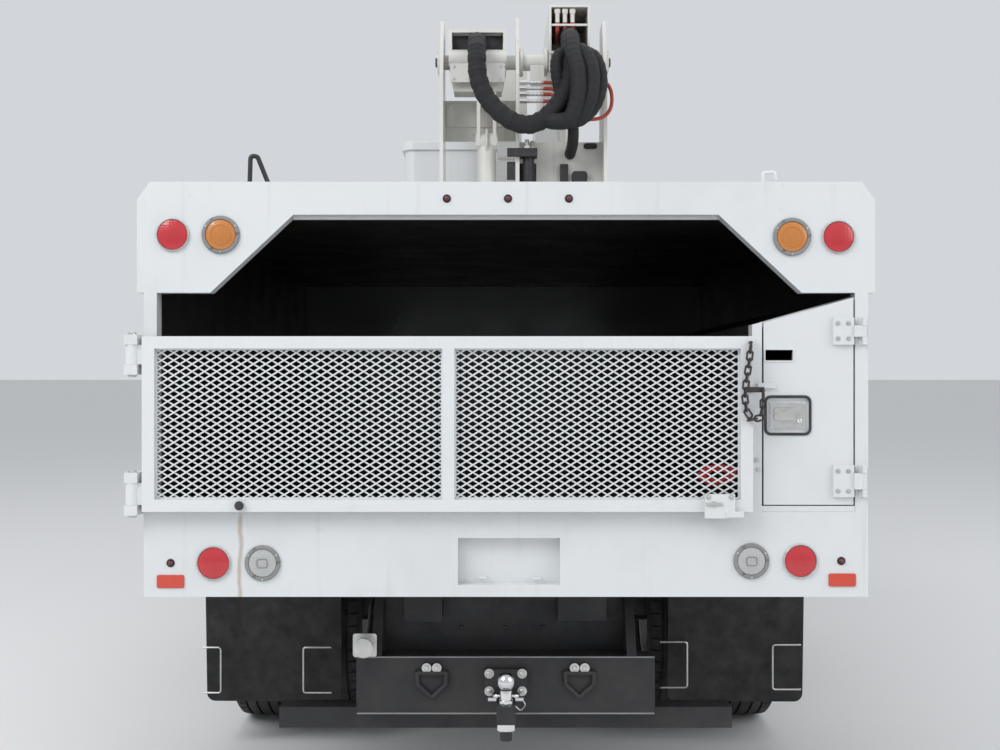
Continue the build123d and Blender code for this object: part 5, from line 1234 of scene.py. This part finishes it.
# left x, right x, near ahead, far ahead, z, bend, radius
BUCKET_BEADS = (
    (-0.692, -0.108, 4.408, 5.002, 3.2065, 0.076, 0.0055),
    (-0.6835, -0.1165, 4.4165, 4.9935, 2.34, 0.072, 0.006),
)


class TRUCK_OT_bucket_controls(bpy.types.Operator):
    """Puts the control box with its levers in the bucket, and a bead round its lip and its foot"""
    bl_idname = "truck.bucket_controls"
    bl_label = "Bucket controls"

    def execute(self, context):
        box = [
            upright((-0.330, 4.984, 3.000), 0.240, 0.150, 0.100, 0.015),
            plate((-0.330, 4.934, 3.0745), RIGHT, FORWARD, 0.230, 0.090, 0.006, 0.012),
        ]
        fitted("bucket_console", box, "black", "bucket")
        levers, knobs = [], []
        for k in range(4):
            foot = np.add(LEVER_FOOT, (LEVER_PITCH * k, 0.0, 0.0))
            top = foot + (0.0, -0.010 + 0.006 * k, 0.085)
            levers.append(pipe([foot, (foot + top) / 2, top], 0.004, 0.004, 8))
            knobs.append(turned(KNOB, top, UP, 20))
        fitted("bucket_levers", levers, "steel", "bucket")
        fitted("bucket_knobs", knobs, "gasket", "bucket")
        rings = []
        for x0, x1, y0, y1, z, bend, radius in BUCKET_BEADS:
            corners = [(x0, y0, z), (x1, y0, z), (x1, y1, z), (x0, y1, z)]
            rings.append(loop(corners, bend, radius, 10))
        fitted("bucket_lip_bead", rings, "bucket", "bucket")
        heads = [(-0.1045, y, z) for y in (4.60, 4.72) for z in (2.80, 2.95, 3.10, 3.42)]
        fitted("bucket_bracket_bolts", bolts(heads, RIGHT, 0.009), "steel", "bucket")
        return {"FINISHED"}


# Wheels

AXLE_Z = 0.505
STUD_CIRCLE = 0.1425
HUB_CIRCLE = 0.088
WHEEL_NUT = capped((0.0, 0.024), (0.004, 0.024), (0.006, 0.018), (0.024, 0.018), (0.028, 0.014),
                   (0.028, 0.011), (0.040, 0.011), (0.042, 0.0))
HUB_CAP = capped((0.0, 0.070), (0.014, 0.068), (0.022, 0.056), (0.026, 0.030))
# out of the disc, ahead of the axle
VALVE = ((0.006, 0.205), (0.02, 0.235), (0.05, 0.245))
# body, ahead, disc's x, hub's reach beyond it
WHEELS = (("wheel_front", 7.180, 1.080, 0.037), ("wheels_rear", 1.750, 1.014, 0.104))


class TRUCK_OT_wheel_nuts(bpy.types.Operator):
    """Puts the nuts on every wheel's disc, the caps on the hubs and the valves beside them"""
    bl_idname = "truck.wheel_nuts"
    bl_label = "Wheel nuts"

    def execute(self, context):
        turns = np.arange(10) * pi / 5
        for side, word in SIDES:
            for kind, ahead, disc_x, reach in WHEELS:
                body = f"{kind}_{word}"
                axis = side * RIGHT
                cap_x = side * (disc_x + reach)
                grids = [turned(WHEEL_NUT, (side * disc_x, *spot), axis, 12)
                         for spot in circle(ahead, AXLE_Z, STUD_CIRCLE, turns)]
                grids.append(turned(HUB_CAP, (cap_x, ahead, AXLE_Z), axis, 40))
                spots = circle(ahead, AXLE_Z, HUB_CIRCLE, turns[::2])
                grids += bolts([(cap_x, *spot) for spot in spots], axis, 0.009)
                fitted(f"{body}_nuts", grids, "steel", body)
                valve = mirrored(side, [(disc_x + out, ahead + on, AXLE_Z) for out, on in VALVE])
                fitted(f"{body}_valve", [pipe(valve, 0.008, 0.005, 10)], "steel", body)
        return {"FINISHED"}


# Underbody

TANK_Z = 0.570
TANK_RADIUS = 0.112
CHAMBER_X = 0.640
EXHAUST_X = 0.640
EXHAUST_Z = 0.640
EXHAUST_BACK = ((EXHAUST_X, 4.13, EXHAUST_Z), (EXHAUST_X, 3.70, EXHAUST_Z), (0.820, 3.50, 0.620),
                (1.150, 3.42, 0.610))
EXHAUST_FRONT = ((EXHAUST_X, 5.07, EXHAUST_Z), (EXHAUST_X, 5.30, 0.660), (0.400, 5.44, 0.640),
                 (0.300, 5.80, 0.620), (0.300, 6.950, 0.720))
BRAKE_HOSES = (
    ((0.36, 2.90, 0.82), (0.50, 2.30, 0.86), (0.60, 1.98, 0.74), (CHAMBER_X, 1.92, 0.640)),
    ((CHAMBER_X, 1.600, 0.640), (0.560, 1.15, 0.740), (0.46, 0.90, 0.800)),
)
FILLER = capped((0.0, 0.045), (0.020, 0.045), (0.026, 0.036))
PANEL_FACE = 0.403


class TRUCK_OT_underbody(bpy.types.Operator):
    """Hangs air tanks, silencer, oil tank, brake chambers, hoses and a rear panel below the frame, whose
    wide black plate is partly painted shade
    """
    bl_idname = "truck.underbody"
    bl_label = "Underbody"

    def execute(self, context):
        over = TANK_RADIUS + 0.005
        band = [(0.0, TANK_RADIUS), (0.0, over), (0.03, over), (0.03, TANK_RADIUS)]
        tank_x = (-0.285, 0.285)
        tanks = [drum((x, 3.15, TANK_Z), (x, 3.95, TANK_Z), TANK_RADIUS, 0.03) for x in tank_x]
        tanks += [turned(band, (x, y, TANK_Z), FORWARD, 40, True)
                  for x in tank_x for y in (3.32, 3.78)]
        for side, _ in SIDES:
            for ahead, back in ((1.905, 0.16), (1.600, -0.16)):
                ends = mirrored(side, [(CHAMBER_X, ahead, 0.560), (CHAMBER_X, ahead + back, 0.590)])
                tanks.append(drum(*ends, 0.078, 0.02))
        fitted("air_tanks", tanks, "black", "chassis")
        silencer = [
            drum((EXHAUST_X, 4.10, EXHAUST_Z), (EXHAUST_X, 5.10, EXHAUST_Z), 0.125, 0.04, 40),
            pipe(EXHAUST_BACK, 0.10, 0.050, 20), pipe(EXHAUST_FRONT, 0.08, 0.045, 20),
        ]
        fitted("exhaust", silencer, "chain", "chassis")
        reservoir = [
            plate((-0.720, 3.62, 0.560), RIGHT, FORWARD, 0.500, 0.560, 0.420, 0.050, 0.008),
            turned(FILLER, (-0.720, 3.50, 0.978), UP, 24),
        ]
        fitted("oil_tank", reservoir, "black", "chassis")
        lines = []
        for k, x in enumerate((-0.20, -0.12, 0.10, 0.17, 0.23)):
            route = [(x, 0.52, 0.80 - 0.02 * k), (x + 0.02, 0.95, 0.62 + 0.02 * k),
                     (x, 1.35, 0.66 + 0.03 * k), (x, 2.95, 0.80)]
            lines.append(pipe(route, 0.15, 0.013))
        for side, _ in SIDES:
            lines += [pipe(mirrored(side, route), 0.08, 0.010, 10) for route in BRAKE_HOSES]
        fitted("underbody_hoses", lines, "gasket", "chassis")
        # A wide black plate behind the hitch, partly a panel and partly painted shade: a dark sheet that
        # darkens the gap under the tail. The two small boxes on it are valve cases.
        sheet_and_cases = [
            upright((0.0, PANEL_FACE + 0.012, 0.700), 0.900, 0.270, 0.012, 0.010),
            upright((-0.300, PANEL_FACE, 0.760), 0.140, 0.120, 0.060, 0.010),
            upright((0.280, PANEL_FACE, 0.745), 0.180, 0.090, 0.050, 0.010),
        ]
        fitted("tail_panel_and_shade_sheet", sheet_and_cases, "black", "chassis")
        heads = [(x, PANEL_FACE, z) for x in (-0.16, 0.0, 0.14) for z in (0.67, 0.82)]
        fitted("tail_panel_bolts", bolts(heads, -FORWARD, 0.009), "black", "chassis")
        return {"FINISHED"}


# Cab fittings

DOOR_WINDOW = ((1.0205, 5.64, 1.63), (1.0205, 6.60, 1.63), (1.0205, 6.29, 2.28), (1.0205, 5.64, 2.28))
DOOR_HANDLE = ((1.018, 5.64, 1.52), (1.046, 5.655, 1.52), (1.046, 5.765, 1.52), (1.018, 5.78, 1.52))
DOOR_PULL = ((0.962, 5.78, 1.48), (0.920, 5.80, 1.48), (0.920, 6.18, 1.43), (0.962, 6.20, 1.43))
DOOR_LOCK = capped((0.0, 0.011), (0.004, 0.009))
SCREEN = ((-0.93, 6.752, 1.64), (0.93, 6.752, 1.64), (0.93, 6.338, 2.38), (-0.93, 6.338, 2.38))
WIPER_ARM = ((0.0, 6.775, 1.625), (0.18, 6.700, 1.760), (0.42, 6.640, 1.860))
WIPER_BLADE = ((0.10, 6.705, 1.745), (0.42, 6.640, 1.862), (0.62, 6.620, 1.90))
GEAR_LEVER = ((0.0, 6.20, 1.02), (0.0, 6.15, 1.20), (-0.03, 6.05, 1.36))
HOOD_CATCH = ((0.622, 6.900, 1.300), (0.640, 6.900, 1.360), (0.622, 6.900, 1.440))
DIAL = capped((0.0, 0.050), (0.010, 0.050), (0.012, 0.044), (0.005, 0.042))
DIAL_FACING = (0.0, -0.9, 0.42)
GEAR_KNOB = capped((0.0, 0.016), (0.02, 0.026), (0.05, 0.026), (0.062, 0.0))
ROOF_LAMP = capped((0.0, 0.030), (0.012, 0.028), (0.026, 0.018), (0.031, 0.0))
FUEL_CAP = capped((0.0, 0.058), (0.018, 0.058), (0.024, 0.050), (0.024, 0.018), (0.034, 0.016))
LAMP_BOWL = ((0.0, 0.052), (0.004, 0.056), (0.004, 0.060), (0.0, 0.062))
HEADLAMP_X = 0.900
HEADLAMP_Z = 0.945


class TRUCK_OT_cab(bpy.types.Operator):
    """Fits the cab's mirrors, handles, seals, wipers, dials, pedals, lamps, hood catches and steps"""
    bl_idname = "truck.cab"
    bl_label = "Cab fittings"

    def execute(self, context):
        for side, word in SIDES:
            body = f"cab_door_{word}"
            glass = [upright((side * 1.200, 6.521, z), 0.160, tall, 0.004, 0.012)
                     for z, tall in ((1.955, 0.260), (1.735, 0.120))]
            fitted(f"mirror_glass_{word}", glass, "mirror", body)
            blacks = [
                loop(mirrored(side, DOOR_WINDOW), 0.04, 0.007),
                pipe(mirrored(side, DOOR_HANDLE), 0.012, 0.009),
                pipe(mirrored(side, DOOR_PULL), 0.03, 0.013),
                turned(DOOR_LOCK, (side * 1.020, 5.710, 1.470), side * RIGHT, 20),
            ]
            fitted(f"door_seal_{word}", blacks, "gasket", body)
        blacks = [loop(SCREEN, 0.06, 0.010)]
        for x in (-0.55, 0.12):
            for line, radius in ((WIPER_ARM, 0.006), (WIPER_BLADE, 0.008)):
                blacks.append(pipe([(x + dx, y, z) for dx, y, z in line], 0.05, radius))
        blacks.append(loop(rectangle(-0.565, 0.565, 5.327, 1.715, 2.205), 0.04, 0.009))
        blacks += [turned(DIAL, (x, 6.455, 1.500), DIAL_FACING, 28) for x in (-0.60, -0.45, -0.30)]
        blacks.append(pipe(GEAR_LEVER, 0.05, 0.010))
        blacks.append(turned(GEAR_KNOB, (-0.03, 6.05, 1.355), UP, 24))
        blacks += [upright((x, 6.560, 1.110), 0.080, 0.110, 0.020, 0.012)
                   for x in (-0.56, -0.40, -0.26)]
        fitted("cab_trim", blacks, "gasket", "chassis")
        roof = [turned(ROOF_LAMP, (x, 6.330, 2.489), UP, 24) for x in (-0.80, -0.14, 0.0, 0.14, 0.80)]
        fitted("cab_roof_lamps", roof, "amber", "chassis")
        rims = []
        for side, _ in SIDES:
            x = side * HEADLAMP_X
            corners = rectangle(x - 0.132, x + 0.132, 8.031, HEADLAMP_Z - 0.058, HEADLAMP_Z + 0.058)
            rims.append(loop(corners, 0.03, 0.008))
            spots = mirrored(side, [(HEADLAMP_X + dx, 8.028, HEADLAMP_Z) for dx in (-0.062, 0.062)])
            rims += [turned(LAMP_BOWL, spot, FORWARD, 32, True) for spot in spots]
        fitted("headlamp_rims", rims, "chrome", "hood")
        trim = [pipe(mirrored(side, HOOD_CATCH), 0.03, 0.012) for side, _ in SIDES]
        trim += [pipe([(x, 7.995, z - 0.030), (x, 7.996, z), (x, 7.995, z + 0.030)], 0.004, 0.004, 6)
                 for z in 0.8825 + 0.075 * np.arange(6) for x in np.arange(-0.36, 0.37, 0.12)]
        fitted("hood_trim", trim, "gasket", "hood")
        bits = [turned(FUEL_CAP, (-0.800, 6.200, 0.928), UP, 32)]
        bits += [plate((1.0125, y, 0.700), FORWARD, UP, 0.060, 0.120, 0.008, 0.010)
                 for y in (5.62, 6.18)]
        heads = [(x, y, 1.0602) for x in (-1.15, -0.7, 0.7, 1.15) for y in (3.46, 4.30, 5.18)]
        bits += bolts(heads, UP, 0.010)
        bits += [plate((side * 1.02, 4.72, 1.060), RIGHT, FORWARD, 0.36, 0.90, 0.006, 0.020)
                 for side, _ in SIDES]
        fitted("chassis_steel", bits, "tread", "chassis")
        return {"FINISHED"}


# Stage

FLOOR_REACH = 400.0
FLOOR_CORNERS = ((-1, -1), (1, -1), (1, 1), (-1, 1))
SKY = (0.86, 0.89, 0.93, 1.0)
SKY_STRENGTH = 0.75
# name, place, target, size, power
LIGHTS = (
    ("key_light", (-5.5, -9.0, 7.5), (0.0, -3.0, 1.2), 5.0, 500.0),
    ("fill_light", (7.0, -8.0, 5.0), (0.0, -3.0, 1.2), 6.0, 260.0),
    ("top_light", (0.0, 1.0, 12.0), (0.0, 0.5, 0.0), 12.0, 330.0),
)


class TRUCK_OT_stage(bpy.types.Operator):
    """Lays the floor, hangs the soft lights and sets the camera where the photographer stood"""
    bl_idname = "truck.stage"
    bl_label = "Stage"

    def execute(self, context):
        scene = context.scene
        scene.view_settings.view_transform = "Standard"
        mesh = bpy.data.meshes.new("floor")
        corners = [(FLOOR_REACH * x, FLOOR_REACH * y, 0.0) for x, y in FLOOR_CORNERS]
        mesh.from_pydata(corners, [], [(0, 1, 2, 3)])
        floor = bpy.data.objects.new("floor", mesh)
        mesh.materials.append(Finish("studio floor", (0.70, 0.70, 0.70), 0.9).material)
        scene.collection.objects.link(floor)
        world = bpy.data.worlds.new("studio")
        world.use_nodes = True
        background = world.node_tree.nodes["Background"]
        background.inputs["Color"].default_value = SKY
        background.inputs["Strength"].default_value = SKY_STRENGTH
        scene.world = world
        for name, place, target, size, power in LIGHTS:
            light = bpy.data.lights.new(name, "AREA")
            light.size = size
            light.energy = power
            lamp = bpy.data.objects.new(name, light)
            lamp.location = place
            lamp.rotation_euler = (Vector(target) - Vector(place)).to_track_quat("-Z", "Y").to_euler()
            scene.collection.objects.link(lamp)
        camera = bpy.data.cameras.new("camera")
        camera.sensor_width = 36.0
        camera.lens = 44.9
        camera.clip_end = 900.0
        eye = bpy.data.objects.new("camera", camera)
        eye.location = (-0.02, TAIL_Y - sizes().camera_back, sizes().camera_height)
        eye.rotation_euler = (radians(90.0), 0.0, 0.0)
        scene.collection.objects.link(eye)
        scene.camera = eye
        return {"FINISHED"}


STEPS = (
    TRUCK_OT_paint, TRUCK_OT_tyres, TRUCK_OT_tail_lamps, TRUCK_OT_wires, TRUCK_OT_tail_fittings,
    TRUCK_OT_hitch, TRUCK_OT_seats, TRUCK_OT_hoses, TRUCK_OT_turret, TRUCK_OT_bucket_controls,
    TRUCK_OT_wheel_nuts, TRUCK_OT_underbody, TRUCK_OT_cab, TRUCK_OT_stage,
)


class TRUCK_PT_panel(bpy.types.Panel):
    """Lists the truck's colours, sizes and steps in the sidebar"""
    bl_label = "Bucket truck"
    bl_idname = "TRUCK_PT_panel"
    bl_space_type = "VIEW_3D"
    bl_region_type = "UI"
    bl_category = "Truck"

    def draw(self, context):
        for group in (context.scene.truck_colours, context.scene.truck_sizes):
            for key in group.bl_rna.properties.keys():
                if key not in ("rna_type", "name"):
                    self.layout.prop(group, key)
        for step in STEPS:
            self.layout.operator(step.bl_idname)


CLASSES = (TruckColours, TruckSizes, *STEPS, TRUCK_PT_panel)


def register():
    for cls in CLASSES:
        bpy.utils.register_class(cls)
    bpy.types.Scene.truck_colours = PointerProperty(type=TruckColours)
    bpy.types.Scene.truck_sizes = PointerProperty(type=TruckSizes)


def unregister():
    del bpy.types.Scene.truck_colours
    del bpy.types.Scene.truck_sizes
    for cls in reversed(CLASSES):
        bpy.utils.unregister_class(cls)


def main():
    """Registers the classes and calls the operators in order."""
    register()
    for step in STEPS:
        group, name = step.bl_idname.split(".")
        getattr(getattr(bpy.ops, group), name)()


if __name__ == "__main__":
    main()
